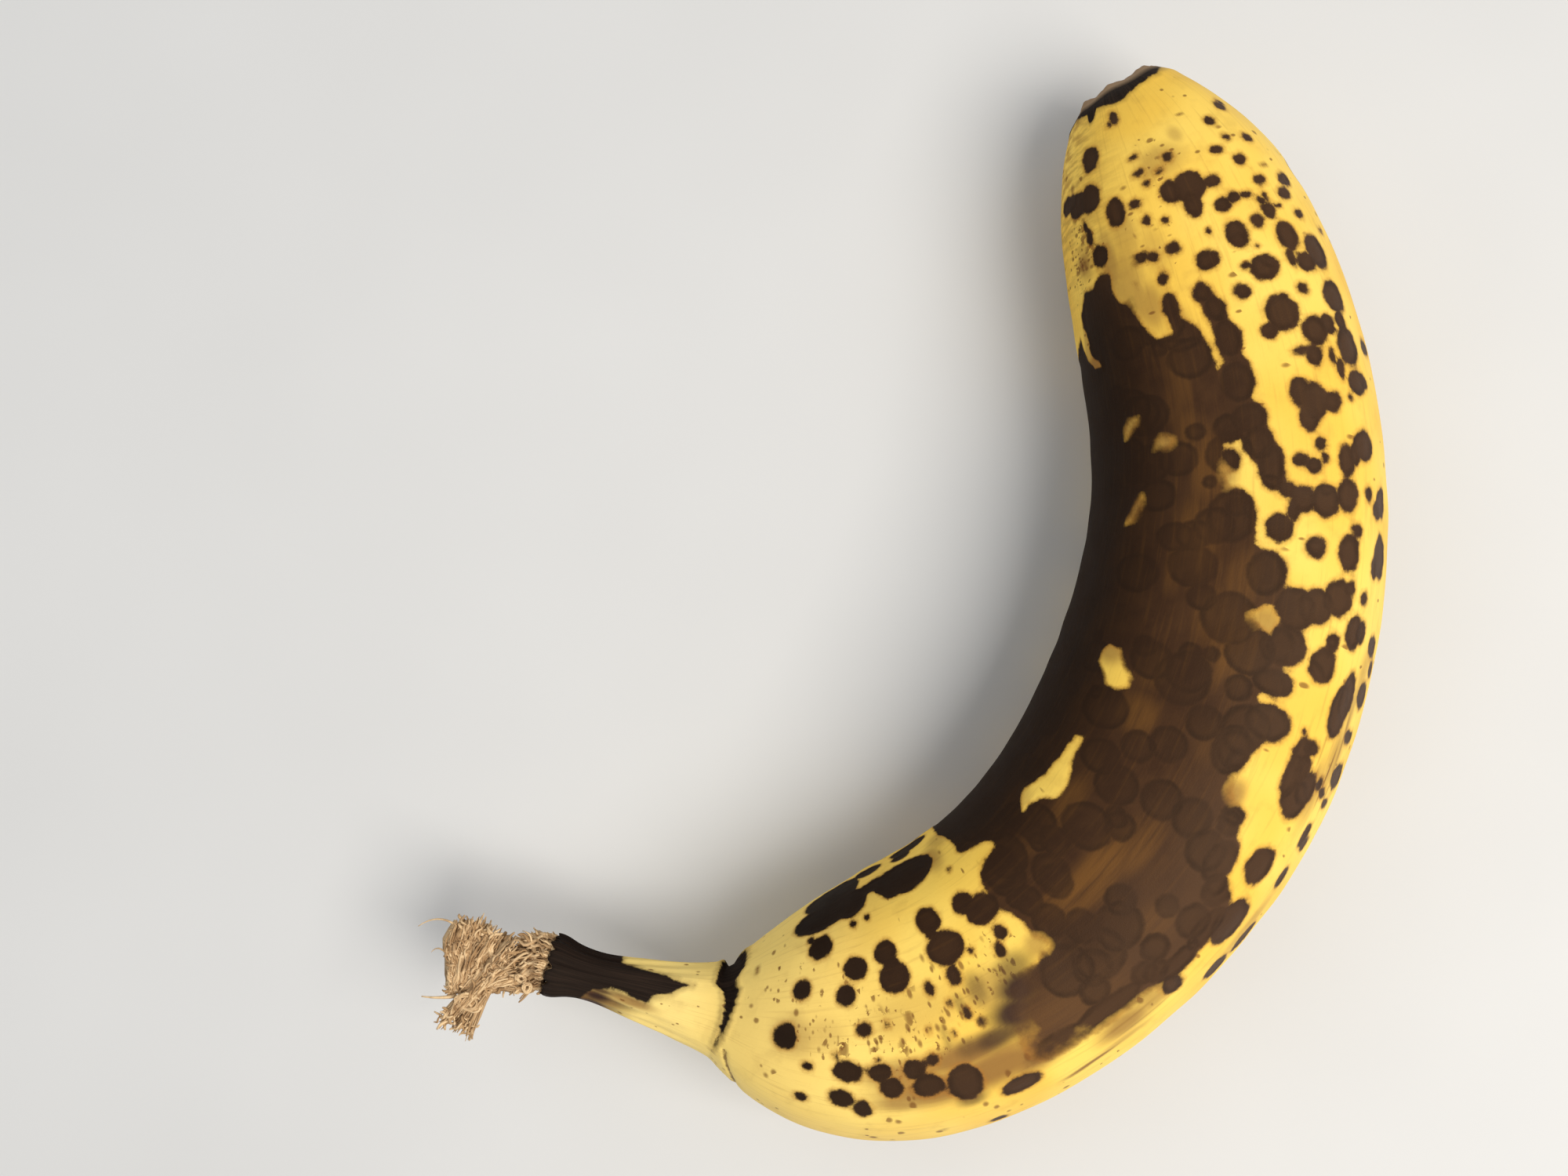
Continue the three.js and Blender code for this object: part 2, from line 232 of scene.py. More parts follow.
# Round spots along the big patch's edge, and in the hollow of the bend
EDGE_SPOTS = (
    (60.5, 66.5, 3.2, 5), (66.5, 66.5, 4.5, 5), (75, 61.5, 3, 4.5), (79.5, 62.5, 3, 5),
    (86, 74.8, 2.7, 5.4), (91, 79.5, 1.2, 4.6), (97.5, 90, 3, 7), (101.9, 81.6, 2.1, 8.4),
    (106.3, 84.2, 1.6, 7.6), (110.6, 83, 2.4, 7.4), (114.8, 82.5, 2.5, 7.6), (115.6, 75, 2, 7),
    (116.9, 66.6, 2, 6.6), (118.1, 61.4, 0.9, 3), (118.3, 94.7, 2.7, 7.2),
    (124.8, 108.5, 3.4, 9), (128.3, 88.8, 1, 3.8), (131, 94.3, 2.8, 4.9), (133.9, 98.3, 2.1, 6),
    (131.9, 108.6, 1.4, 3.6), (136, 109, 1.9, 6), (137, 101, 1.9, 7), (141.6, 103.3, 2.6, 6.6),
    (147.2, 103.6, 2.4, 5), (151.2, 105.2, 1.6, 4.2), (153.5, 108.3, 1.2, 3.6),
    (153.2, 121.5, 1.6, 2.9), (68.5, 206, 5, 9), (75.5, 214, 3.5, 8), (83, 207, 5.5, 9),
    (91.5, 217, 3.8, 11), (97, 208, 5, 8), (105.5, 213, 3.2, 12), (112, 204, 4.5, 9),
    (120.5, 215, 4.6, 12), (129, 207, 3.5, 8), (134, 213, 3, 9), (141, 205, 4.5, 11),
    (148.5, 204, 3, 7),
)

# Gaps in the big patch where yellow or tan peel shows: outlines of (station, angle)
WINDOWS = (
    (
        (76, 140), (77.4, 143.6), (78.3, 146), (79.5, 146.2), (81.2, 144.3),
        (83.2, 142.3), (86.5, 141.7), (90.4, 140.8), (90.6, 137.3), (88, 137),
        (86.3, 136.3), (85, 133.6), (83, 132.6), (81, 133.2), (80.2, 136),
        (79.3, 138.6), (77.8, 140),
    ),
    (
        (98.8, 134.5), (99.2, 139), (100.6, 142), (101.7, 145.3), (103.5, 145.8),
        (104.7, 143), (104.6, 138.3), (102.4, 135), (101.3, 131), (99.8, 130.4),
    ),
    ((123, 148.7), (124.4, 146.8), (127.8, 143), (127.9, 141.6), (126.4, 141.2), (123.5, 145)),
    ((136, 151.2), (137.6, 150.4), (139.2, 147.8), (139.5, 143.2), (138.7, 143), (137.6, 146.6)),
    ((133.9, 137), (135.4, 137), (136.3, 134), (135.6, 130.4), (134.8, 129.6), (134, 132)),
    ((111.3, 89.5), (112, 94), (113.2, 98.5), (114.5, 94), (114.9, 90.5), (113.4, 87.3)),
    ((64.6, 99), (64.4, 104), (65, 106), (65.8, 103), (66.2, 98.5), (65.4, 97.3)),
)

# The dried, black end of the stem: station, angle
BLACK_STEM = (
    (-3, 250), (8.5, 250), (8.8, 165), (9.5, 153), (11, 149), (13, 143), (15, 138), (16, 134.5),
    (17, 131.3), (18.3, 129), (17.2, 125.5), (16.5, 120), (16.2, 114), (15.3, 109),
    (14.4, 103.5), (13.7, 98), (13.5, 90), (13.1, 86), (12.3, 85.5), (11.5, 88.5), (9.6, 92.5),
    (8.6, 94.5), (8, 88), (6.6, 80), (5.6, 68), (5, 40), (4.6, 0), (4.8, -60), (6.5, -90),
    (-3, -90),
)

# The split across the neck: angle, station of its middle, half its width in mm
SPLIT = np.array(
    [
        (50, 22.4, 0.02), (64, 22.6, 0.1), (76, 22.9, 0.2), (90, 23.25, 0.32),
        (104, 23.45, 0.45), (116, 23.45, 0.75), (126, 23.35, 1.05), (136, 22.5, 1.3),
        (143, 22.55, 1.35), (149, 22.9, 1.75), (165, 23.1, 1.7), (190, 23.1, 1.6),
        (215, 22.9, 0.9), (235, 22.8, 0.3), (250, 22.8, 0.02),
    ],
    float,
)
# The crease that carries on from the split, down the outer side: station, angle
CREASE = ((23.9, 66), (24.2, 55), (24.8, 44), (25.4, 30), (25.8, 10), (25.6, -10))

# The black rim of the blossom end: its edge on the skin, angle and station
BLOSSOM_RIM = np.array(
    [
        (-20, 184.3), (20, 184.2), (45, 183.7), (62, 182.9), (75, 182.4), (92, 182.1),
        (102, 181.7), (108, 181.2), (117, 181.3), (126, 181.8), (134, 182),
        (138.5, 180.7), (141.5, 180.5), (145, 182.3), (165, 182.6), (190, 181.9),
        (230, 182.4), (270, 181.9), (300, 183.2), (340, 184.3),
    ],
    float,
)

# Soft areas, each (station, angle, half length mm, half angle, strength): dark bruises,
# tan stains on the yellow, and paler brown inside the big patch
BRUISES = (
    (7, 81, 1.9, 8, 0.9), (6.7, 62, 2.4, 18, 1), (6.2, 25, 2.6, 36, 1), (9.7, 157, 1.4, 5, 0.7),
    (8, 87, 2.6, 5, 0.35), (9.3, 60, 3.2, 12, 0.45), (8.5, 20, 3, 40, 0.5),
    (58.2, 85.5, 3.4, 7.5, 1), (60.2, 92, 3.2, 8, 1), (55, 80.5, 3.2, 4.5, 0.85),
    (61, 100, 2.6, 6, 0.65), (51.8, 81, 1.6, 4, 0.5), (49.9, 59, 1.6, 4, 0.7),
    (52.9, 97, 0.7, 5, 0.5), (55.6, 100, 1.2, 7, 0.5), (49.8, 88, 0.6, 5, 0.45),
    (64.5, 79, 3, 8, 0.4),
)
STAINS = (
    (47.5, 69, 7, 8, 1), (53.5, 69.5, 6.5, 9, 1), (57.5, 67, 4.5, 8, 1),
    (43.5, 66, 3.5, 5, 0.8), (44.5, 77.5, 5, 7, 0.85), (51, 79, 6, 6, 1), (57, 98, 4, 8, 0.6),
    (47, 101, 7, 10, 0.3), (67, 55, 3.5, 7, 0.85), (70.5, 56, 2, 6, 0.7),
    (171, 106, 2.2, 13, 0.5), (173.5, 93, 1.2, 4, 0.45), (161, 142, 5, 5, 0.75),
    (155.5, 133, 4, 4, 0.7), (159, 136, 4.5, 5, 0.6), (59.5, 158, 2, 10, 0.7),
    (62, 168, 2.5, 8, 0.55), (97, 52, 4, 5, 0.55), (101, 46, 4, 6, 0.6), (106, 43, 4, 3, 0.6),
    (110, 40, 3, 6, 0.5), (82, 38, 4.5, 5, 0.5), (149, 166, 2.4, 8, 1), (152, 172, 4, 4, 0.6),
    (163, 160, 2, 7, 0.7), (104, 142, 2.2, 7, 0.75), (112.6, 92, 2.2, 7, 0.75),
    (125.5, 145, 3, 6, 0.95), (138, 147, 2.2, 6, 0.8), (135, 133, 2, 6, 0.9),
    (62, 43, 3.2, 2, 0.8), (66, 45, 3, 3, 0.5), (11, 80, 3.5, 10, 0.9), (8, 60, 3, 20, 0.9),
    (6, 30, 3.5, 40, 0.9), (131, 111, 3.5, 5, 0.7), (152.5, 127, 2.5, 3, 0.35),
    (158, 137, 4.5, 9, 0.65), (154, 129, 3.5, 6, 0.7), (163.5, 133, 4.5, 7, 0.5),
    (160.5, 122, 3.5, 6, 0.35), (150, 119, 3, 4, 0.5), (93, 82.5, 2, 4, 0.8),
    (78, 145, 2, 4, 0.4), (64.8, 102, 1.5, 5, 0.6), (32, 96, 2.8, 11, 0.5),
    (35.5, 97, 3, 8, 0.3),
)
PALE_BROWN = (
    (76, 106, 7.5, 7, 1), (82.5, 99, 4.5, 4, 0.8), (70, 110, 3.5, 4, 0.6),
    (76.5, 78, 2.6, 7, 0.7), (81.5, 129, 4.5, 4, 0.7), (97, 124, 2.8, 7, 0.8),
    (109, 100, 4.5, 9, 0.75), (117, 103, 4, 6, 0.55), (121.5, 120, 6, 8, 0.7),
    (131, 117, 5, 6, 0.8), (118, 126, 4, 4, 0.5), (144, 125, 6, 5, 0.5),
    (61.5, 73, 6.5, 12, 0.9), (67, 75, 4.5, 9, 0.6), (97, 96, 2.5, 6, 0.3),
    (73, 130, 2.5, 5, 0.35), (136, 124, 4, 5, 0.5), (127.5, 117, 2, 6, 0.5),
    (112, 108, 4, 8, 0.6), (103, 125, 3, 6, 0.4), (140, 128, 4, 4, 0.4),
)

# Old round spots that show inside the big patch: station, angle, radius mm
OLD_SPOTS = (
    (103.2, 114, 3.4), (106.8, 114, 1.5), (106, 130, 1.6), (104.5, 95, 1.7), (100.2, 88, 3),
    (89.5, 129, 2.6), (80.5, 119, 3.2), (87.2, 119, 2.8), (114.2, 115, 1.9), (78.8, 80, 1.5),
    (90, 79, 1.6), (93, 119, 2.2), (88.5, 103, 2.6), (88.5, 91, 2.5), (76.2, 134, 3),
    (67.5, 129, 3), (72.5, 118, 2.6), (67.6, 116, 2), (68.2, 83, 2.3), (73.5, 88, 3),
    (72.8, 66, 1.6), (79.2, 69, 2.2), (83.2, 69, 2), (109, 95, 3), (99.2, 102, 2.3),
    (116, 140, 3), (118, 120, 3), (86.2, 81, 2.5), (139.5, 143, 3), (127.5, 136, 2.5),
    (132.5, 128, 2.5), (136, 121, 1.3), (150.2, 143, 2.6), (145.8, 119, 2.8), (68, 106, 2.2),
    (70.5, 97, 2.2), (76, 94, 2), (95, 110, 2.4), (83, 110, 2), (74.5, 73, 1.8),
)
# More of them at random: how many, between which stations and angles, and radii in mm
OLD_COUNT = 90
OLD_STATIONS, OLD_ANGLES = (63, 158), (66, 215)
OLD_SMALL, OLD_LARGE = 0.9, 3.4
# The round spots' own outlines are kept in this many layers; in one layer they stay this
# many mm apart
LAYERS = 4
LAYER_GAP = 0.3

# Where the big patch fades out without a clear edge
SOFT_EDGES = (
    (59.5, 84, 4.5, 13, 1), (60, 68, 4.5, 8, 0.9), (67, 60, 5, 4, 0.6), (93, 84, 2, 4, 0.5),
    (112, 97, 1.6, 3, 0.5), (129.5, 112, 2.5, 4, 0.5), (65.5, 101, 1.5, 5, 0.6),
    (158, 135, 4, 5, 0.5), (125.5, 145, 3, 7, 0.3), (138, 147, 2.6, 7, 0.25),
    (135, 133, 2.2, 7, 0.3), (101.5, 138, 3, 8, 0.12), (155, 131, 3, 4, 0.4),
)

# Where fine brown flecks crowd: station, angle, half length mm, half angle, strength
FLECKED = (
    (46, 98, 12, 14, 1), (56, 108, 6, 10, 1), (38, 96, 6, 10, 0.8), (44, 86, 8, 6, 0.8),
    (163, 162, 6, 16, 1), (164, 120, 8, 10, 0.25), (171, 110, 4, 14, 0.3),
    (60, 104, 4, 10, 0.9), (34, 120, 8, 14, 0.25), (33.5, 97, 3.5, 9, 0.9),
)

# Three sizes of fleck: cells per mm along and around the fruit, the chance of a fleck in a
# cell on bare peel and what crowding adds to it, and its size as a share of the cell
FLECK_SIZES = (
    (1.25, 0.62, 0.015, 0.60, 0.50),
    (2.10, 0.95, 0.010, 0.55, 0.50),
    (0.62, 0.26, 0.0, 0.30, 0.55),
)

# Streaks rubbed along the outer side: station, angle, half length mm, half angle, strength
SCUFFS = (
    (62, 43, 3.5, 1.2, 0.7), (60.3, 41.5, 1.8, 1.4, 0.7), (69, 50, 4, 1, 0.4),
    (67.5, 56, 3.5, 0.8, 0.35), (99, 47, 3.5, 0.9, 0.9), (98, 54.5, 2.6, 0.8, 0.8),
    (101.5, 57, 2.4, 0.6, 0.6), (103, 43.5, 4, 0.8, 0.7), (97, 40, 2, 1.2, 0.8),
    (26.7, 139.5, 0.35, 5, 0.9), (30.4, 126.5, 0.2, 1.3, 0.8), (39.8, 32, 0.15, 4, 0.6),
    (47.6, 32.5, 0.15, 3, 0.6), (51.9, 44, 0.18, 2.2, 0.6), (46.3, 37, 0.15, 3, 0.4),
    (166.3, 59.5, 0.4, 3.4, 0.9), (166, 68, 0.3, 1.4, 0.6), (175.7, 84, 0.28, 2.7, 0.9),
    (168.2, 30, 0.35, 4.5, 0.6), (157.3, 133, 0.4, 1.3, 0.7), (163.2, 128, 0.3, 0.9, 0.6),
    (163, 161, 0.9, 5, 0.8), (173.6, 163, 0.8, 3, 0.7), (124.2, 53, 0.3, 1.5, 0.5),
)

# Spots on the underside, drawn at random: how many, between which stations and angles, and
# their sizes in mm
UNDER_COUNT = 170
UNDER_STATIONS, UNDER_ANGLES = (31, 179), (196, 378)
UNDER_SMALL, UNDER_LARGE = 0.5, 2.6

# ---- The tuft of fibres --------------------------------------------------------------

# The tuft is mostly two sheaves of fibre, each given by lines across it that its strands
# run through in turn.  A line is two points, each (inner side, backwards) in the stem's own
# frame, mm.  The stem's crumbly core, matted felt and stray hairs come on top.
SHEET_LINES = (
    ((2.4, 13.3), (1.8, 6.2)),
    ((-1.4, 13.4), (-0.9, 6.9)),
    ((-4.6, 12.2), (-4.0, 8.4)),
    ((-7.3, 11.4), (-6.4, 10.0)),
)
# How far inward the sheet's ragged top reaches, from its back to its front, mm
SHEET_TOP = (1.5, 1.6, 2.8, 2.6, 2.0, 1.2)
BUNCH_LINES = (
    ((2.4, 5.8), (-3.9, 2.6)),
    ((-1.5, 7.3), (-4.6, 5.6)),
    ((-6.6, 9.6), (-6.1, 6.8)),
    ((-10.9, 12.5), (-12.0, 7.2)),
)
SHEET_RIBBONS, SHEET_STRANDS = 90, 420
BUNCH_RIBBONS, BUNCH_STRANDS = 40, 380
SHEET_FRAYED, BUNCH_FRAYED = 0.1, 0.22
BUNCH_LIFT = 0.9  # mm above the sheet
CORE_STRANDS = 320
COLLAR_STRANDS = 60
FELT_STRANDS = 260
STRAND_SIDES = 4
STRAND_STEPS = 9

# Stray hairs: three points (inner side, backwards, up) that pull on each, and its radius, mm
HAIRS = (
    ((-6.8, 10.4, 1.2), (-7.6, 12.4, 1.8), (-8.1, 14.7, 1.2), 0.28),
    ((1.6, 13.0, 0.5), (2.9, 15.6, 1.4), (0.2, 17.7, 0.6), 0.17),
    ((-2.2, 13.2, 0.6), (-1.2, 14.6, 0.8), (-2.6, 15.2, 0.3), 0.15),
    ((2.4, 3.0, 1.6), (3.9, 3.3, 2.0), (3.5, 4.6, 1.2), 0.17),
    ((-3.9, 4.6, 0.9), (-4.9, 4.9, 0.9), (-5.6, 4.7, 0.6), 0.24),
    ((-3.2, 3.6, 0.9), (-4.4, 3.7, 0.9), (-5.0, 3.4, 0.6), 0.20),
)
# Loops of fibre: middle (inner side, backwards, up), half width and half length, mm
LOOPS = ((-6.9, 8.6, 2.0, 0.95, 1.45), (-2.9, 1.9, 2.4, 0.6, 0.45), (-2.0, 3.0, 2.5, 0.4, 0.6))
LOOP_WRAPS = 5
LOOP_RADIUS = 0.15

# ---- Shape ---------------------------------------------------------------------------


def smooth_curve(xs, ys, x):
    """A smooth curve through the points (xs, ys), read at x."""
    slopes = np.empty_like(ys)
    slopes[1:-1] = (ys[2:] - ys[:-2]) / (xs[2:] - xs[:-2])
    slopes[0] = (ys[1] - ys[0]) / (xs[1] - xs[0])
    slopes[-1] = (ys[-1] - ys[-2]) / (xs[-1] - xs[-2])
    i = np.clip(np.searchsorted(xs, x, side="right") - 1, 0, len(xs) - 2)
    span = xs[i + 1] - xs[i]
    t = (x - xs[i]) / span
    return (
        ys[i] * (1 + 2 * t) * (1 - t) ** 2
        + slopes[i] * span * t * (1 - t) ** 2
        + ys[i + 1] * t * t * (3 - 2 * t)
        - slopes[i + 1] * span * t * t * (1 - t)
    )


def profile(column, station):
    """One of PROFILE's columns, read at a station."""
    clipped = np.clip(station, 0, LENGTH)
    return smooth_curve(PROFILE[:, STATION], PROFILE[:, column], clipped)


def turned(a, b):
    """The angle from b to a, degrees, between -180 and 180."""
    return (a - b + 180) % 360 - 180


def from_below(angle):
    """The angle counted from the underside, -90 to 270."""
    return (angle + 90) % 360 - 90


def section(angle):
    """The five-ridged section's radius, 1 on average."""
    rise = sum(np.exp(-((turned(angle, ridge) / RIDGE_SPREAD) ** 2)) for ridge in RIDGES)
    return 1 + RIDGE_RISE * (rise - RIDGE_MEAN)


def middle_line(station):
    """The middle line from above, and its heading in radians."""
    step = 0.25
    grid = np.arange(0, LENGTH + step / 2, step)
    turn = np.radians(profile(HEADING, grid[:-1] + step / 2))
    x = np.concatenate([[0], np.cumsum(np.cos(turn)) * step])
    y = np.concatenate([[0], np.cumsum(np.sin(turn)) * step])
    heading = np.radians(profile(HEADING, station))
    past = np.maximum(station - LENGTH, 0) + np.minimum(station, 0)
    inside = np.clip(station, 0, LENGTH)
    return (
        np.interp(inside, grid, x) + past * np.cos(heading),
        np.interp(inside, grid, y) + past * np.sin(heading),
        heading,
    )


def point_at(station, angle, extra=0.0, share=1.0):
    """The skin's point, extra mm proud of the section, at a share of its radius."""
    x, y, heading = middle_line(station)
    half = profile(HALF_WIDTH, station)
    axis_height = profile(GAP, station) + half * FLATTEN * section(270.0)
    radius = share * (half * section(angle) + extra)
    across = radius * np.cos(np.radians(angle))
    up = radius * np.sin(np.radians(angle)) * FLATTEN
    return np.stack(
        [x + np.sin(heading) * across, y - np.cos(heading) * across, axis_height + up], -1
    )


def frame_offset():
    """From the profile's own frame to the CAD frame, mm, by the fruit's extremes."""
    stations, angles = np.meshgrid(np.arange(60, 184.1, 0.5), np.arange(0, 360, 2.0))
    body = point_at(stations, angles)
    return np.array(
        [CAD_HIGH[0] / MM - body[..., 0].max(), CAD_LOW[1] / MM - body[..., 1].min(), 0.0]
    )


OFFSET = frame_offset()


def smoothstep(low, high, x):
    """0 at low, 1 at high, smooth between."""
    t = np.clip((x - low) / (high - low), 0, 1)
    return t * t * (3 - 2 * t)


def waves(station, angle, count, seed, along, around):
    """Smooth seeded unevenness between about -1 and 1, without a seam around the fruit."""
    rng = np.random.default_rng(seed)
    total = np.zeros(np.broadcast(station, angle).shape)
    for _ in range(count):
        pitch = along * rng.uniform(0.6, 1.6)
        turns = rng.integers(0, around + 1)
        phase = rng.uniform(0, 2 * math.pi, 2)
        total += np.sin(2 * math.pi * station / pitch + phase[0]) * np.cos(
            np.radians(angle) * turns + phase[1]
        )
    return total / math.sqrt(count)


# ---- Distances on the skin, in mm, below zero inside ---------------------------------

FAR = 50.0  # stands for anywhere away from a spot or an outline
SPOT_REACH = 6.0  # how far from a spot its distance is worked out


def arc_scale(station):
    """Millimetres around the skin for one degree."""
    return np.radians(1) * np.maximum(profile(HALF_WIDTH, station), 2.0)


def spot_distance(station, angle, spots):
    """Distance to the nearest of the oval spots, worked out only near each one."""
    best = np.full(station.shape, FAR)
    scale = arc_scale(station)
    for s0, a0, along, around in spots:
        near = np.abs(station - s0) < along + SPOT_REACH
        if not near.any():
            continue
        half_round = around * arc_scale(np.array(s0))
        u = (station[near] - s0) / along
        v = turned(angle[near], a0) * scale[near] / half_round
        k = np.hypot(u, v)
        slope = np.hypot(u / along, v / half_round)
        distance = k * (k - 1) / np.maximum(slope, 1e-6)
        distance = np.where(k < 0.05, -min(along, half_round), distance)
        best[near] = np.minimum(best[near], distance)
    return best


def edge_distance(station, angle, edges):
    """Distance to the nearest of several straight edges, each (start, end)."""
    scale = arc_scale(station)
    best = np.full(station.shape, FAR)
    for (s0, a0), (s1, a1) in edges:
        px, py = station - s0, (angle - a0) * scale
        ex, ey = s1 - s0, (a1 - a0) * scale
        t = np.clip((px * ex + py * ey) / (ex * ex + ey * ey), 0, 1)
        best = np.minimum(best, np.hypot(px - t * ex, py - t * ey))
    return best


def outline_distance(station, angle, outline):
    """Distance to a closed outline; angles run from -90 to 270."""
    angle = from_below(angle)
    points = np.array(outline, float)
    edges = list(zip(points, np.roll(points, -1, axis=0)))
    inside = np.zeros(station.shape, bool)
    for (s0, a0), (s1, a1) in edges:
        if a0 != a1:
            crosses = (angle < max(a0, a1)) & (angle >= min(a0, a1))
            inside ^= crosses & (station < s0 + (angle - a0) / (a1 - a0) * (s1 - s0))
    away = edge_distance(station, angle, edges)
    return np.where(inside, -away, away)


def soft_areas(station, angle, areas, inner=0.35, outer=1.45):
    """The strongest of several soft-edged ovals, 0 to 1."""
    total = np.zeros(station.shape)
    scale = arc_scale(station)
    for s0, a0, along, around, strength in areas:
        half_round = around * arc_scale(np.array(s0))
        k = np.hypot((station - s0) / along, turned(angle, a0) * scale / half_round)
        total = np.maximum(total, strength * (1 - smoothstep(inner, outer, k)))
    return total


def gap_between(spot, other):
    """Roughly the clear distance between two round spots, mm."""
    scale = float(arc_scale(np.array((spot[0] + other[0]) / 2)))
    apart = math.hypot(spot[0] - other[0], turned(spot[1], other[1]) * scale)
    return apart - (spot[2] + other[2] + (spot[3] + other[3]) * scale) / 2


def share_out(spots):
    """The round spots in LAYERS lists, so that those in one list stay clear of each other."""
    layers = [[] for _ in range(LAYERS)]
    for spot in spots:
        gaps = [min((gap_between(spot, other) for other in layer), default=99) for layer in layers]
        if max(gaps) > LAYER_GAP:
            layers[int(np.argmax(np.array(gaps) > LAYER_GAP))].append(spot)
    return layers


def smooth_min(a, b, blend):
    """The smaller of two distances, rounded over where they are about equal."""
    h = np.clip(0.5 + 0.5 * (b - a) / blend, 0, 1)
    return b * (1 - h) + a * h - blend * h * (1 - h)


def old_spots():
    """The old spots inside the big patch, as round spots with their half angles."""
    rng = np.random.default_rng(11)
    rounds = list(OLD_SPOTS)
    for _ in range(OLD_COUNT):
        station, angle = rng.uniform(*OLD_STATIONS), rng.uniform(*OLD_ANGLES)
        rounds.append((station, angle, rng.uniform(OLD_SMALL, OLD_LARGE)))
    return tuple((s, a, r, r / float(arc_scale(np.array(float(s))))) for s, a, r in rounds)


def under_spots():
    """Random spots for the side that lies on the table and the low inner side."""
    rng = np.random.default_rng(23)
    spots = []
    while len(spots) < UNDER_COUNT:
        station = rng.uniform(*UNDER_STATIONS)
        angle = rng.uniform(*UNDER_ANGLES)
        size = UNDER_SMALL * (UNDER_LARGE / UNDER_SMALL) ** rng.beta(1.3, 1.5)
        size *= float(np.clip(profile(HALF_WIDTH, np.array(station)) / 16, 0.4, 1))
        reach = size * rng.uniform(0.9, 1.5) / float(arc_scale(np.array(station)))
        crowded = any(
            math.hypot(station - s, turned(angle, a) * float(arc_scale(np.array(s))))
            < 1.1 * (size + along)
            for s, a, along, _ in spots
        )
        if crowded and rng.random() < 0.85:
            continue
        spots.append((station, angle, size, reach))
    return spots


def split_edges(angle):
    """The split's middle, and half its width, at each angle."""
    wrapped = from_below(angle)
    middle = np.interp(wrapped, SPLIT[:, 0], SPLIT[:, 1])
    half = np.interp(wrapped, SPLIT[:, 0], SPLIT[:, 2], left=-0.5, right=-0.5)
    ragged = SPLIT_RAGGED * waves(middle, angle, 9, 5, 40.0, 60)
    return middle + 0.6 * ragged, np.where(half > 0, half + 0.55 * np.abs(ragged), half)


def peel_pattern(station, angle):
    """Everything that the peel's material reads, as arrays over the skin's points."""
    plain = SPOTS + EDGE_SPOTS + tuple(under_spots())
    patch = outline_distance(station, angle, BIG_PATCH)
    dark = smooth_min(spot_distance(station, angle, plain), patch, 0.6)
    windows = [outline_distance(station, angle, outline) for outline in WINDOWS]
    window = np.minimum.reduce(windows)
    dark = np.maximum(dark, -window)
    middle, half = split_edges(angle)
    black = np.minimum(
        outline_distance(station, angle, BLACK_STEM), np.abs(station - middle) - half
    )
    rim = np.interp((angle + 20) % 360 - 20, BLOSSOM_RIM[:, 0], BLOSSOM_RIM[:, 1])
    black = np.minimum(black, rim + 0.12 * waves(station, angle, 8, 3, 40.0, 30) - station)
    crease = edge_distance(station, from_below(angle), list(zip(CREASE, CREASE[1:])))
    layers = share_out(plain + old_spots())
    rounds = {
        f"round_{i}": np.minimum(spot_distance(station, angle, layer), SPOT_REACH)
        for i, layer in enumerate(layers)
    }
    return {
        "dark_mm": dark,
        "black_mm": black,
        "crease_mm": crease,
        "bruise": soft_areas(station, angle, BRUISES),
        "stain": soft_areas(station, angle, STAINS),
        "pale_brown": soft_areas(station, angle, PALE_BROWN),
        "soft_edge": soft_areas(station, angle, SOFT_EDGES, 0.5, 1.4),
        **rounds,
        "flecks": soft_areas(station, angle, FLECKED, 0.5, 1.3),
        "scuff": soft_areas(station, angle, SCUFFS, 0.4, 1.2),
        # the outer and inner sides: where the spots' brown gets painted light and painted shade
        "outer_side": 1 - smoothstep(60, 112, np.abs(turned(angle, 0))),
        "inner_side": smoothstep(112, 165, from_below(angle))
        * (1 - smoothstep(225, 262, from_below(angle))),
        "neck": 1 - smoothstep(24, 60, station),
        "stem": 1 - smoothstep(16, 24, station),
        "tip": smoothstep(150, 176, station),
    }


# ---- Meshes --------------------------------------------------------------------------


def make_mesh(name, vertices, faces, smooth=True):
    """A mesh object in the scene, its vertices in metres."""
    mesh = bpy.data.meshes.new(name)
    mesh.from_pydata(vertices.tolist(), [], faces)
    mesh.polygons.foreach_set("use_smooth", [smooth] * len(mesh.polygons))
    mesh.update()
    thing = bpy.data.objects.new(name, mesh)
    bpy.context.scene.collection.objects.link(thing)
    return thing


def add_numbers(thing, name, values):
    """One number at each point, which a material reads by its name."""
    attribute = thing.data.attributes.new(name, "FLOAT", "POINT")
    attribute.data.foreach_set("value", np.asarray(values, np.float32).ravel())


def column_angles():
    """The skin's points around, one turn of angles, closer together on the upper side."""
    parts = [np.arange(start, end, step) for start, end, step in AROUND]
    return np.concatenate(parts)


def ring_rows():
    """Rows of the skin, from the stem's torn end to the middle of the blossom scar."""
    rows = list(TORN_ROWS)
    for start, end, spacing in RINGS:
        count = round((end - start) / spacing)
        first = 0 if start == 0 else 1
        for i in range(first, count + 1):
            rows.append((start + (end - start) * i / count, 1.0, 0, 0))
    return np.array(rows + list(SCAR_ROWS), float)


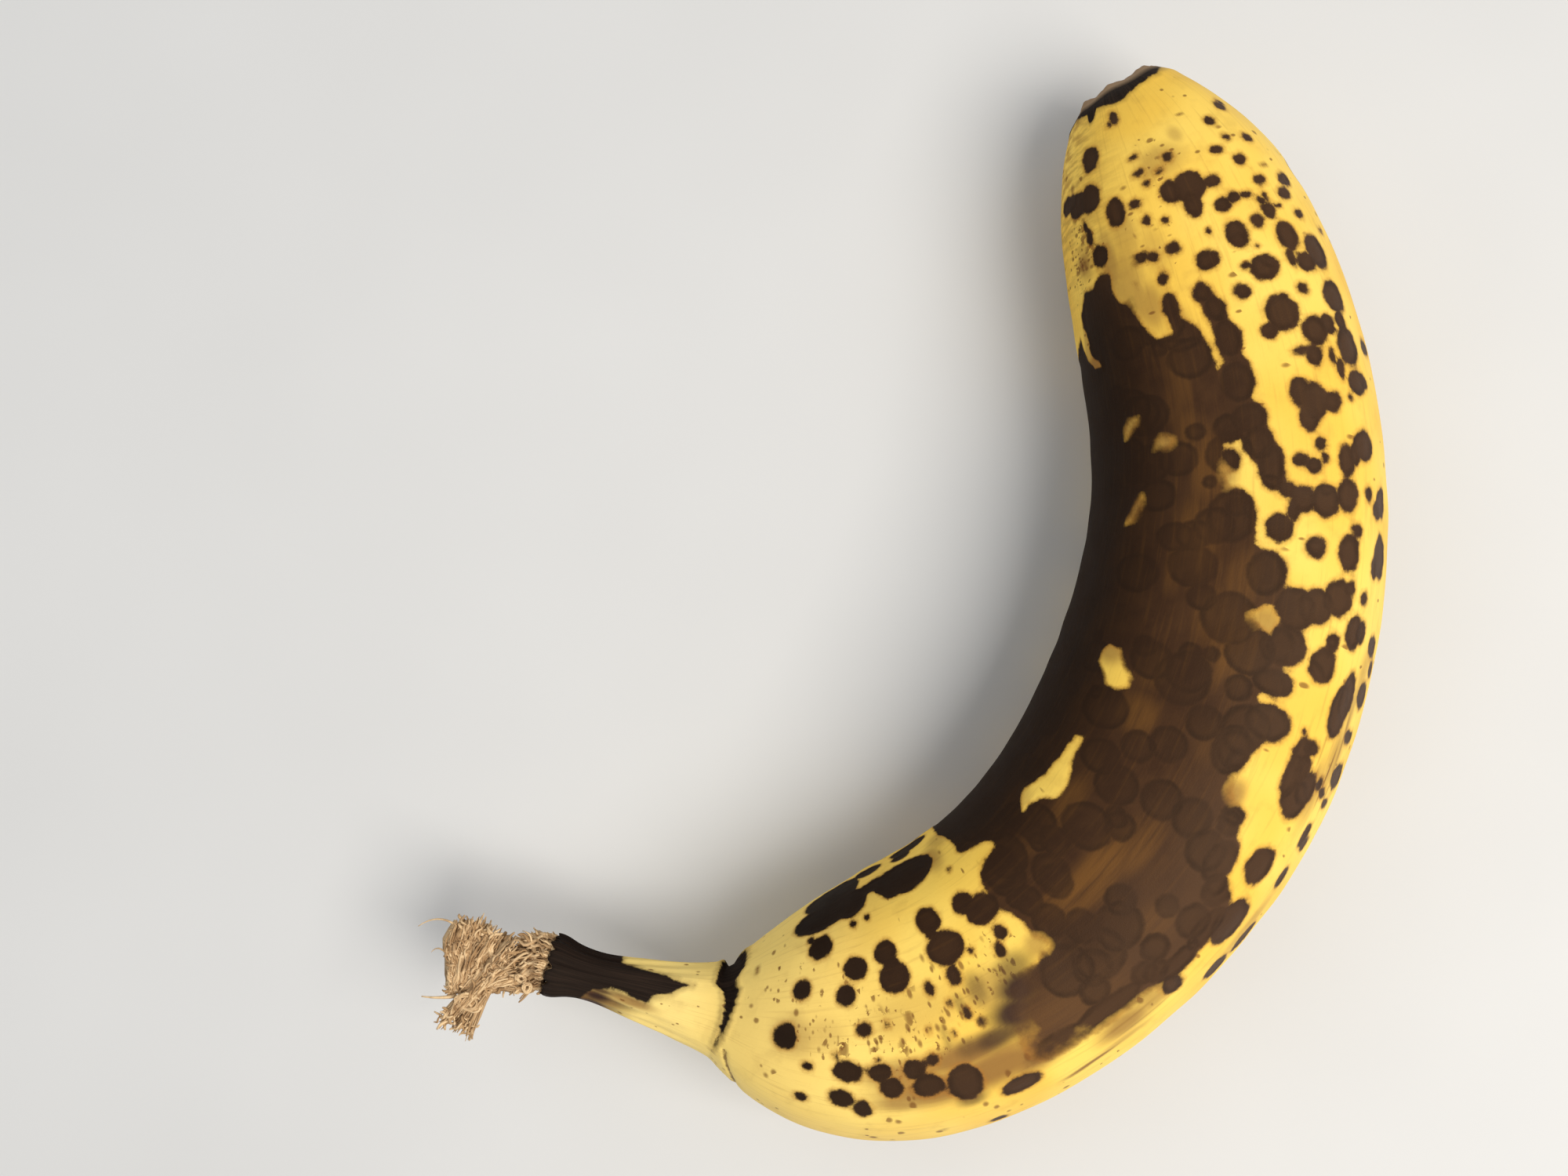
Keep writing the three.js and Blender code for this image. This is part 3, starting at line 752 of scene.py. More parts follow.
def skin_relief(station, angle, pattern):
    """How far the skin stands proud of its smooth section, mm."""
    lumps = LUMP_RISE * waves(station, angle, 10, 1, 46.0, 3) * smoothstep(26, 45, station)
    lumps += RIPPLE_RISE * waves(station, angle, 14, 2, 9.0, 16) * smoothstep(22, 40, station)
    on_stem = 1 - smoothstep(14, 23, station)
    wrinkles = WRINKLE_RISE * np.cos(np.radians(angle) * 7 + station * 0.12 + 1.0)
    wrinkles += FINE_WRINKLE_RISE * np.cos(np.radians(angle) * 17 - station * 0.2)
    collar = COLLAR_RISE * np.exp(-(((station - 0.8) / 1.6) ** 2))
    middle, half = split_edges(angle)
    away = np.abs(station - middle) - half
    split = -SPLIT_DEPTH * (1 - smoothstep(-0.75, 0.10, away)) * (half > 0)
    lips = SPLIT_LIP_RISE * np.exp(-(((away - 0.25) / 0.3) ** 2)) * (half > 0.05)
    sunken = -SPOT_SINK * (1 - smoothstep(-0.9, 0.1, pattern["dark_mm"]))
    crease = -CREASE_DEPTH * np.exp(-((pattern["crease_mm"] / 0.35) ** 2))
    rim = RIM_RISE * np.exp(-(((station - 182.6) / 0.7) ** 2))
    return lumps + on_stem * (wrinkles + collar) + split + lips + sunken + crease + rim


def make_skin():
    """The whole peel as one mesh, with the pattern's numbers at its points."""
    rows = ring_rows()
    angles = column_angles()
    turn = len(angles)
    station, angle = np.meshgrid(rows[:, 0], angles, indexing="ij")
    share = np.repeat(rows[:, 1:2], turn, 1)
    paper = np.repeat(rows[:, 2:3], turn, 1)
    torn = np.repeat(rows[:, 3:4], turn, 1)
    pattern = peel_pattern(station, angle)
    relief = skin_relief(station, angle, pattern)
    # the torn rim of the stem and the dry lip of the scar are ragged
    ragged = station - TORN_RAGGED * waves(station * 0, angle, 10, 8, 40.0, 26) * (
        1 - smoothstep(0, 3.5, station)
    )
    near_scar = smoothstep(180.5, 184, station)
    scar_waves = waves(station * 0, angle, 7, 9, 40.0, 8)
    ragged += near_scar * (SCAR_RAGGED * scar_waves - SCAR_LOWERED)
    ragged += LIP_RAGGED * paper * waves(station * 0, angle, 10, 10, 40.0, 26)
    paper = np.maximum(paper, smoothstep(183.45, 183.85, station) * (share > 0.99))
    where = point_at(ragged, angle, relief, share) + OFFSET
    where[..., 2] = np.maximum(where[..., 2], 0.0)
    count = len(rows)
    vertices = where.reshape(-1, 3) * MM
    index = np.arange(count * turn).reshape(count, turn)
    after = np.roll(index, -1, axis=1)
    quads = np.stack([index[:-1], index[1:], after[1:], after[:-1]], -1).reshape(-1, 4)
    skin = make_mesh("banana_skin", vertices, quads.tolist())
    for name, values in pattern.items():
        add_numbers(skin, name, values)
    add_numbers(skin, "paper", paper)
    add_numbers(skin, "torn", torn)
    # a UV map laid out along and around the skin
    along = np.concatenate([[0], np.cumsum(np.hypot(np.diff(rows[:, 0]), 5 * np.diff(rows[:, 1])))])
    along /= along[-1]
    around = np.append(angles - angles[0], 360) / 360
    column = np.tile(np.arange(turn), count - 1)
    row = np.repeat(np.arange(count - 1), turn)
    u = np.stack([along[row], along[row + 1], along[row + 1], along[row]], -1)
    v = around[np.stack([column, column, column + 1, column + 1], -1)]
    layer = skin.data.uv_layers.new(name="OFBake")
    layer.data.foreach_set("uv", np.stack([u, v], -1).astype(np.float32).ravel())
    return skin


# ---- Fibres at the torn stem ---------------------------------------------------------


def stem_frame():
    """The stem's broken end: its point, and the inner, backward and upward directions."""
    x, y, heading = middle_line(np.array(0.0))
    half = profile(HALF_WIDTH, np.array(0.0))
    height = profile(GAP, np.array(0.0)) + half * FLATTEN * section(270.0)
    inner = np.array([-math.sin(heading), math.cos(heading), 0.0])
    back = np.array([-math.cos(heading), -math.sin(heading), 0.0])
    origin = np.array([float(x), float(y), float(height)]) + OFFSET
    return origin, inner, back


def to_stem(points):
    """Points given as (inner side, backwards, up) from the broken end, in the scene's frame."""
    origin, inner, back = stem_frame()
    up = np.array([0.0, 0.0, 1.0])
    return origin + points[:, :1] * inner + points[:, 1:2] * back + points[:, 2:3] * up


def strand(path, radii, flat):
    """A tapering strand along a path of points: its vertices and faces."""
    direction = np.gradient(path, axis=0)
    direction /= np.maximum(np.linalg.norm(direction, axis=1, keepdims=True), 1e-9)
    side = np.cross(direction, [0.0, 0.0, 1.0])
    side /= np.maximum(np.linalg.norm(side, axis=1, keepdims=True), 1e-6)
    up = np.cross(side, direction)
    turn = np.arange(STRAND_SIDES) * 2 * math.pi / STRAND_SIDES
    ring = (
        side[:, None] * np.cos(turn)[None, :, None]
        + up[:, None] * (flat * np.sin(turn))[None, :, None]
    )
    vertices = path[:, None] + ring * radii[:, None, None]
    faces = []
    for i in range(len(path) - 1):
        for j in range(STRAND_SIDES):
            k = (j + 1) % STRAND_SIDES
            a, b = i * STRAND_SIDES, (i + 1) * STRAND_SIDES
            faces.append((a + j, a + k, b + k, b + j))
    last = (len(path) - 1) * STRAND_SIDES
    faces.append(tuple(reversed(range(STRAND_SIDES))))
    faces.append(tuple(range(last, last + STRAND_SIDES)))
    return vertices.reshape(-1, 3), faces


def through_lines(lines, across, reach):
    """The path that crosses each line at a share of its length, read at reach 0 to 1."""
    points = np.array([[np.array(a) * (1 - across) + np.array(b) * across] for a, b in lines])
    knots = np.linspace(0, 1, len(lines))
    return np.stack([smooth_curve(knots, points[:, 0, k], reach) for k in range(2)], -1)


def sheaf(rng, lines, count, frayed, thickness, radius, flat):
    """Strands that run through the lines, as (path, radii, flatness, tone).

    frayed is the share by which some end early, thickness half the sheaf's height and
    radius the range of a strand's radius, in mm.
    """
    strands = []
    for _ in range(count):
        across = rng.uniform(0, 1)
        # most strands run the whole way; the rest are broken off somewhere
        first, last = 0.0, 1.0
        if rng.random() < 0.5:
            first = rng.uniform(0, 0.6)
            last = min(1.0, first + rng.uniform(0.25, 0.6))
        last *= 1 - frayed * abs(math.sin(9 * across + 1)) * rng.uniform(0.4, 1)
        first += rng.uniform(-0.06, 0.08)
        reach = np.linspace(first, last, STRAND_STEPS)
        path = np.zeros((STRAND_STEPS, 3))
        path[:, :2] = through_lines(lines, across, reach)
        wave = rng.uniform(0, 2 * math.pi)
        path[:, 1] += 0.25 * np.sin(6 * reach + wave)
        path[:, 0] += 0.12 * np.sin(13 * reach + 2 * wave)
        level = rng.uniform(-1, 1)
        path[:, 2] = level * thickness + 0.25 * np.sin(7 * reach + across * 9)
        path += rng.normal(0, 0.06, path.shape)
        taper = 1 - 0.7 * np.abs(np.linspace(-1, 1, STRAND_STEPS)) ** 4
        strands.append((path, rng.uniform(*radius) * taper, flat, rng.random()))
    return strands


def felt(rng, lines, height):
    """Short matted fibres that lie this high over the sheaf through the lines."""
    strands = []
    t = np.linspace(-0.5, 0.5, STRAND_STEPS)
    for _ in range(FELT_STRANDS):
        across, reach = rng.uniform(0, 1), rng.uniform(-0.04, 0.95)
        ends = through_lines(lines, across, np.array([reach, reach + 0.05]))
        ahead = ends[1] - ends[0]
        heading = math.atan2(ahead[1], ahead[0]) + rng.normal(0, 0.55)
        length, curl = rng.uniform(0.6, 2.2), rng.uniform(0.05, 0.30)
        phase = rng.uniform(0, 2 * math.pi)
        path = np.zeros((STRAND_STEPS, 3))
        bend = curl * np.sin(6 * t + phase)
        path[:, 0] = ends[0, 0] + length * t * math.cos(heading) - bend * math.sin(heading)
        path[:, 1] = ends[0, 1] + length * t * math.sin(heading) + bend * math.cos(heading)
        path[:, 2] = height * rng.uniform(0.6, 1.15) + curl * np.cos(6 * t + phase)
        radii = rng.uniform(0.10, 0.26) * (1 - 2.2 * np.abs(t) ** 2)
        strands.append((path, radii, 0.7, rng.random()))
    return strands


def tuft_paths(rng):
    """The torn tuft: a felted sheet with a bunch of fibres drawn out across its foot."""
    sheet = sheaf(rng, SHEET_LINES, SHEET_RIBBONS, SHEET_FRAYED, 0.9, (0.45, 0.85), 0.3)
    sheet += sheaf(rng, SHEET_LINES, SHEET_STRANDS, SHEET_FRAYED, 1.1, (0.09, 0.20), 0.8)
    # the sheet's own top edge is ragged: each strand starts on it
    (_, back), (_, front) = SHEET_LINES[0]
    knots = np.linspace(back, front, len(SHEET_TOP))
    for path, _, _, _ in sheet:
        top = np.interp(-path[0, 1], -knots, SHEET_TOP)
        rise = top - 2.2 + rng.normal(0, 0.4)
        path[:, 0] += rise * np.clip(1 - np.linspace(0, 2, STRAND_STEPS), 0, 1)
    bunch = sheaf(rng, BUNCH_LINES, BUNCH_RIBBONS, BUNCH_FRAYED, 0.8, (0.30, 0.60), 0.4)
    bunch += sheaf(rng, BUNCH_LINES, BUNCH_STRANDS, BUNCH_FRAYED, 1.0, (0.09, 0.24), 0.8)
    for path, _, _, _ in bunch:
        path[:, 2] += BUNCH_LIFT
    return sheet + bunch + felt(rng, SHEET_LINES, 1.0) + felt(rng, BUNCH_LINES, 1.8)


def core_paths(rng):
    """The broken core of the stem: a crumbly block of short curled fibres."""
    strands = []
    t = np.linspace(0, 1, STRAND_STEPS)
    for _ in range(CORE_STRANDS):
        turn, out = rng.uniform(0, 2 * math.pi), math.sqrt(rng.uniform(0, 1))
        across, up = 2.9 * out * math.cos(turn), 2.5 * out * math.sin(turn)
        start = rng.uniform(-1.0, 2.6)
        length = rng.uniform(1.2, 3.4)
        lean = rng.normal(-0.35, 0.45)
        path = np.stack(
            [
                0.35 + 1.12 * across + lean * length * t,
                start + length * t,
                up + rng.normal(0, 0.3) * t,
            ],
            -1,
        )
        curl = rng.uniform(0.1, 0.35)
        path[:, 0] += curl * np.sin(8 * t + turn * 3)
        path[:, 2] += curl * np.cos(8 * t + turn * 5)
        radii = rng.uniform(0.14, 0.34) * (1 - 0.6 * t**3)
        strands.append((path, radii, 0.85, rng.random()))
    return strands


def loose_paths(rng):
    """Stray hairs, loops of fibre, and the frill where the skin has torn."""
    strands = []
    t = np.linspace(0, 1, STRAND_STEPS)[:, None]
    for a, b, c, radius in HAIRS:
        a, b, c = np.array(a), np.array(b), np.array(c)
        path = a * (1 - t) ** 2 + b * 2 * t * (1 - t) + c * t**2
        strands.append((path, radius * (1 - 0.7 * t[:, 0]), 0.8, 0.9))
    for inner, back, up, width, length in LOOPS:
        for wrap in range(LOOP_WRAPS):
            sweep = rng.uniform(0, 2 * math.pi) + t[:, 0] * 5.0
            grow = 1 + 0.12 * (wrap - 2)
            path = np.stack(
                [
                    inner + width * grow * np.sin(sweep),
                    back + length * grow * np.cos(sweep),
                    up + 0.1 * np.sin(2 * sweep) + 0 * sweep,
                ],
                -1,
            )
            path += rng.normal(0, 0.05, path.shape)
            radii = np.full(STRAND_STEPS, LOOP_RADIUS)
            strands.append((path, radii, 0.8, rng.uniform(0.5, 1)))
    for _ in range(COLLAR_STRANDS):
        turn = rng.uniform(0, 2 * math.pi)
        reach = rng.uniform(0.5, 1.7)
        rim = np.array([3.2 * math.cos(turn), 0.4, 2.9 * math.sin(turn)])
        tip = rim + [0.35 * math.cos(turn) * reach, reach, 0.35 * math.sin(turn) * reach]
        path = rim * (1 - t) + tip * t + rng.normal(0, 0.05, (STRAND_STEPS, 3))
        strands.append((path, rng.uniform(0.15, 0.3) * (1 - 0.8 * t[:, 0]), 0.7, rng.random()))
    return strands


def make_fibres():
    """All strands of the tuft as one mesh, each with its own tone."""
    rng = np.random.default_rng(41)
    vertices, faces, tones = [], [], []
    start = 0
    for path, radii, flat, tone in tuft_paths(rng) + core_paths(rng) + loose_paths(rng):
        v, f = strand(to_stem(path), radii, flat)
        vertices.append(v)
        faces += [tuple(i + start for i in face) for face in f]
        tones.append(np.full(len(v), tone))
        start += len(v)
    fibres = make_mesh("stem_fibres", np.concatenate(vertices) * MM, faces)
    add_numbers(fibres, "tone", np.concatenate(tones))
    return fibres


# ---- Materials -----------------------------------------------------------------------


def colour(red, green, blue):
    """An sRGB colour, 0 to 255, as the shader's linear one."""

    def linear(c):
        c /= 255
        return c / 12.92 if c <= 0.04045 else ((c + 0.055) / 1.055) ** 2.4

    return (linear(red), linear(green), linear(blue), 1.0)


class Nodes:
    """Short calls for building a material's node tree."""

    def __init__(self, name):
        self.material = bpy.data.materials.new(name)
        self.material.use_nodes = True
        self.tree = self.material.node_tree
        self.tree.nodes.clear()

    def add(self, kind, **settings):
        """A new node with these settings."""
        node = self.tree.nodes.new(kind)
        for key, value in settings.items():
            setattr(node, key, value)
        return node

    def put(self, socket, value):
        """Links the socket when the value is another node's output, or sets it."""
        if isinstance(value, bpy.types.NodeSocket):
            self.tree.links.new(value, socket)
        else:
            socket.default_value = value

    def number(self, name):
        """One of the numbers that the mesh carries at its points."""
        return self.add("ShaderNodeAttribute", attribute_name=name).outputs["Fac"]

    def math(self, operation, a, b=0.0, clamp=False):
        node = self.add("ShaderNodeMath", operation=operation, use_clamp=clamp)
        self.put(node.inputs[0], a)
        self.put(node.inputs[1], b)
        return node.outputs[0]

    def times(self, a, b):
        return self.math("MULTIPLY", a, b)

    def plus(self, a, b):
        return self.math("ADD", a, b)

    def minus(self, a, b):
        return self.math("SUBTRACT", a, b)

    def mask(self, value, low, high):
        """0 where value is at low, 1 where it is at high, smooth between."""
        node = self.add("ShaderNodeMapRange", interpolation_type="SMOOTHSTEP")
        self.put(node.inputs["Value"], value)
        self.put(node.inputs["From Min"], low)
        self.put(node.inputs["From Max"], high)
        return node.outputs["Result"]

    def mix(self, factor, a, b):
        node = self.add("ShaderNodeMix", data_type="RGBA")
        self.put(node.inputs["Factor"], factor)
        self.put(node.inputs["A"], a)
        self.put(node.inputs["B"], b)
        return node.outputs["Result"]

    def tint(self, base, colour, amount, strength):
        """The base with a share of a colour laid over it."""
        return self.mix(self.times(amount, strength), base, colour)

    def object_mm(self):
        """Coordinates in the piece's own frame, mm."""
        place = self.add("ShaderNodeTexCoord").outputs["Object"]
        node = self.add("ShaderNodeMapping")
        self.put(node.inputs["Vector"], place)
        node.inputs["Scale"].default_value = (1 / MM, 1 / MM, 1 / MM)
        return node.outputs["Vector"]

    def skin_mm(self, along=1.0, around=1.0):
        """Coordinates along and around the skin, mm, stretched by the two factors."""
        flat = self.add("ShaderNodeUVMap", uv_map="OFBake").outputs["UV"]
        node = self.add("ShaderNodeMapping")
        self.put(node.inputs["Vector"], flat)
        node.inputs["Scale"].default_value = (LENGTH * along, GIRTH * around, 1.0)
        return node.outputs["Vector"]

    def noise(self, vector, scale, detail=3.0, rough=0.55):
        node = self.add("ShaderNodeTexNoise")
        self.put(node.inputs["Vector"], vector)
        node.inputs["Scale"].default_value = scale
        node.inputs["Detail"].default_value = detail
        node.inputs["Roughness"].default_value = rough
        return node.outputs["Fac"]

    def cells(self, vector):
        """Scattered cells: the distance to each one's middle, and its random colour."""
        node = self.add("ShaderNodeTexVoronoi")
        self.put(node.inputs["Vector"], vector)
        node.inputs["Scale"].default_value = 1.0
        return node.outputs["Distance"], node.outputs["Color"]

    def red(self, tint):
        """The red of a cell's random colour, an even random number from 0 to 1."""
        node = self.add("ShaderNodeSeparateColor")
        self.put(node.inputs["Color"], tint)
        return node.outputs["Red"]

    def bump(self, height, distance_mm, strength=1.0, normal=None):
        node = self.add("ShaderNodeBump")
        self.put(node.inputs["Height"], height)
        node.inputs["Distance"].default_value = distance_mm * MM
        node.inputs["Strength"].default_value = strength
        if normal is not None:
            self.put(node.inputs["Normal"], normal)
        return node.outputs["Normal"]

    def finish(self, base, rough, normal, **others):
        """The material, with any other inputs of its shader by name."""
        shader = self.add("ShaderNodeBsdfPrincipled")
        self.put(shader.inputs["Base Color"], base)
        self.put(shader.inputs["Roughness"], rough)
        self.put(shader.inputs["Normal"], normal)
        for key, value in others.items():
            self.put(shader.inputs[key.replace("_", " ")], value)
        out = self.add("ShaderNodeOutputMaterial")
        self.put(out.inputs["Surface"], shader.outputs["BSDF"])
        return self.material


YELLOW = colour(240, 194, 78)
YELLOW_BRIGHT = colour(249, 210, 98)
YELLOW_PALE_AND_HIGHLIGHT = colour(242, 215, 134)
YELLOW_GREEN = colour(192, 150, 66)
STAIN_TAN = colour(136, 95, 50)
SPOT_BROWN = colour(56, 34, 20)
SPOT_WARM = colour(69, 44, 25)
SPOT_PALE_AND_PAINTED_LIGHT = colour(84, 58, 38)
SPOT_NECK = colour(12, 5, 2)
SPOT_PAINTED_SHADE = colour(24, 15, 8)
SPOT_RING = colour(36, 22, 13)
PATCH_PALE = colour(104, 68, 30)
BRUISE_BROWN = colour(58, 39, 31)
HALO_BROWN = colour(164, 106, 38)
FLECK_BROWN = colour(112, 68, 30)
STEM_BLACK = colour(26, 19, 16)
STEM_GREY = colour(46, 34, 27)
STEM_BROWN = colour(92, 58, 30)
TORN_BROWN = colour(84, 60, 38)
PAPER = colour(150, 124, 96)
SHEEN = colour(255, 232, 205)
FIBRE_PALE = colour(236, 203, 156)
FIBRE_DARK = colour(178, 142, 100)
FIBRE_SPECKS_AND_PAINTED_SHADE = colour(134, 99, 65)
FLOOR_DULL = colour(206, 205, 203)
FLOOR_PALE = colour(214, 213, 211)


def peel_material():
    """The peel: yellow, stains, flecks and spots, black stem, and the dry ends."""
    n = Nodes("peel")
    space = n.object_mm()
    broad = n.noise(space, 0.06, 2.0)
    medium = n.noise(space, 0.32, 4.0)
    uneven = n.noise(space, 0.8, 3.0)
    fine = n.noise(space, 1.7, 4.0, 0.65)
    grain = n.noise(space, 5.5, 3.0, 0.7)
    lengthwise = n.noise(n.skin_mm(0.10, 1.5), 1.0, 4.0, 0.6)
    crosswise = n.noise(n.skin_mm(1.3, 0.16), 1.0, 4.0, 0.6)

    # edges wander a little, so that no outline is a clean curve
    wander = n.times(n.minus(uneven, 0.5), 0.9)
    wander = n.plus(wander, n.times(n.minus(grain, 0.5), 0.3))
    dark_mm = n.plus(n.number("dark_mm"), wander)
    black_mm = n.plus(n.number("black_mm"), wander)
    soft = n.number("soft_edge")
    fade = n.plus(0.20, n.times(soft, 2.0))
    drift = n.times(n.times(n.minus(medium, 0.5), 7.0), soft)
    soft_mm = n.plus(dark_mm, drift)
    dark = n.mask(soft_mm, fade, n.times(fade, -1.0))
    halo = n.mask(dark_mm, 0.65, -0.05)
    black = n.mask(black_mm, 0.14, -0.20)

    # ripe yellow, paler at the neck and stem, partly the neck's own paler tone and partly a painted
    # highlight, with faint lengthwise and crosswise mottling
    base = n.mix(n.mask(broad, 0.35, 0.65), YELLOW, YELLOW_BRIGHT)
    base = n.tint(base, YELLOW_PALE_AND_HIGHLIGHT, n.number("neck"), 0.62)
    base = n.tint(base, YELLOW_PALE_AND_HIGHLIGHT, n.number("stem"), 0.60)
    base = n.tint(base, STAIN_TAN, n.mask(lengthwise, 0.52, 0.72), 0.20)
    base = n.tint(base, STAIN_TAN, n.mask(medium, 0.52, 0.75), 0.14)
    olive = n.times(n.number("inner_side"), n.number("tip"))
    base = n.mix(n.times(olive, n.mask(crosswise, 0.35, 0.65)), base, YELLOW_GREEN)

    # stains, bruises and scuffs under the skin
    stain = n.times(n.number("stain"), n.mask(medium, -0.35, 0.42))
    base = n.tint(base, STAIN_TAN, stain, 0.90)
    scuff = n.times(n.number("scuff"), n.mask(lengthwise, 0.25, 0.55))
    base = n.mix(scuff, base, FLECK_BROWN)
    bruise = n.times(n.number("bruise"), n.mask(medium, -0.25, 0.38))

    # flecks: short dashes around the fruit, crowded where the peel browns
    crowd = n.mask(uneven, 0.38, 0.60)
    for along, around, chance_bare, chance_crowded, size in FLECK_SIZES:
        distance, tint = n.cells(n.skin_mm(along, around))
        chance = n.times(n.times(n.number("flecks"), crowd), chance_crowded)
        chance = n.plus(chance, chance_bare)
        picked = n.math("LESS_THAN", n.red(tint), chance)
        reach = n.times(n.minus(1.15, n.red(tint)), size)
        dot = n.times(picked, n.mask(distance, reach, n.times(reach, 0.4)))
        base = n.tint(base, FLECK_BROWN, dot, 0.75)

    # the round spots' outlines and their insides, layer by layer
    ring, disc = 0.0, 0.0
    for i in range(LAYERS):
        edge = n.plus(n.number(f"round_{i}"), n.times(wander, 0.6))
        line = n.times(n.mask(edge, -1.10, -0.30), n.mask(edge, 0.20, -0.25))
        ring = n.math("MAXIMUM", ring, line)
        disc = n.math("MAXIMUM", disc, n.mask(edge, 0.15, -0.40))

    # spots: a brown halo, then the dark brown itself
    base = n.tint(base, HALO_BROWN, halo, 0.50)
    base = n.mix(bruise, base, BRUISE_BROWN)
    pale = n.times(n.number("pale_brown"), n.mask(lengthwise, 0.10, 0.60))
    pale = n.times(pale, n.minus(1.0, n.times(disc, 0.6)))
    brown = n.mix(n.mask(medium, 0.25, 0.75), SPOT_BROWN, SPOT_WARM)
    streak = n.times(n.mask(lengthwise, 0.48, 0.75), 0.30)
    brown = n.mix(streak, brown, PATCH_PALE)
    brown = n.mix(pale, brown, PATCH_PALE)
    # painted shade: the spots' brown made darker on the inner side, in the hollow of the bend away
    # from the lamp
    brown = n.tint(brown, SPOT_PAINTED_SHADE, n.number("inner_side"), 0.80)
    # painted light: the spots' brown made paler on the outer side, which faces the lamp; on the tip
    # the same pale brown is the spots' own paler tone
    brown = n.tint(brown, SPOT_PALE_AND_PAINTED_LIGHT, n.number("outer_side"), 0.75)
    brown = n.tint(brown, SPOT_PALE_AND_PAINTED_LIGHT, n.number("tip"), 0.45)
    brown = n.tint(brown, SPOT_NECK, n.number("neck"), 0.95)
    brown = n.tint(brown, SPOT_RING, disc, 0.30)
    faint = n.times(n.mask(medium, 0.30, 0.70), 0.60)
    brown = n.tint(brown, SPOT_RING, ring, faint)
    base = n.mix(dark, base, brown)

    # the crease, and the dried black stem, split and rim
    crease = n.mask(n.plus(n.number("crease_mm"), wander), 0.34, 0.05)
    base = n.tint(base, STEM_BROWN, crease, 0.8)
    dry = n.mask(black_mm, 0.9, -0.1)
    base = n.tint(base, STEM_BROWN, dry, 0.45)
    black_tone = n.mix(n.mask(lengthwise, 0.35, 0.75), STEM_BLACK, STEM_GREY)
    base = n.mix(black, base, black_tone)

    # the dry lip of the scar, and the torn end
    base = n.mix(n.number("paper"), base, PAPER)
    base = n.mix(n.number("torn"), base, TORN_BROWN)

    rough = n.plus(0.50, n.times(black, 0.20))
    rough = n.plus(rough, n.times(medium, 0.12))

    # pores and fine wrinkles; the spots' skin is finely crinkled
    pores = n.times(fine, 0.5)
    ridges = n.plus(pores, n.times(lengthwise, 0.6))
    normal = n.bump(ridges, 0.10, 0.55)
    crinkle = n.times(grain, n.math("ADD", dark, black, clamp=True))
    normal = n.bump(crinkle, 0.10, 0.45, normal)
    gloss = n.minus(0.5, n.times(n.number("inner_side"), 0.38))
    return n.finish(base, rough, normal, IOR=1.25, Specular_Tint=SHEEN, Specular_IOR_Level=gloss)


def fibre_material():
    """The dry fibres, paler or darker by strand, with painted shade in broad soft patches and
    darker fine specks.
    """
    n = Nodes("dry_fibre")
    space = n.object_mm()
    fine = n.noise(space, 2.6, 4.0, 0.65)
    broad = n.noise(space, 0.5, 3.0)
    tone = n.number("tone")
    base = n.mix(n.mask(tone, 0.1, 1.0), FIBRE_DARK, FIBRE_PALE)
    # painted shade over broad patches of the tuft, then the same darker colour in fine specks
    base = n.tint(base, FIBRE_SPECKS_AND_PAINTED_SHADE, n.mask(broad, 0.45, 0.70), 0.60)
    base = n.tint(base, FIBRE_SPECKS_AND_PAINTED_SHADE, n.mask(fine, 0.52, 0.80), 0.45)
    normal = n.bump(fine, 0.08, 0.5)
    return n.finish(base, 0.86, normal, Specular_IOR_Level=0.2)


# ---- Floor, light and camera ---------------------------------------------------------


def camera_directions():
    """The camera's right and up, as directions over the table."""
    turn = math.radians(PHOTO_TURN)
    right = np.array([math.cos(turn), -math.sin(turn), 0.0])
    up = np.array([math.sin(turn), math.cos(turn), 0.0])
    return right, up


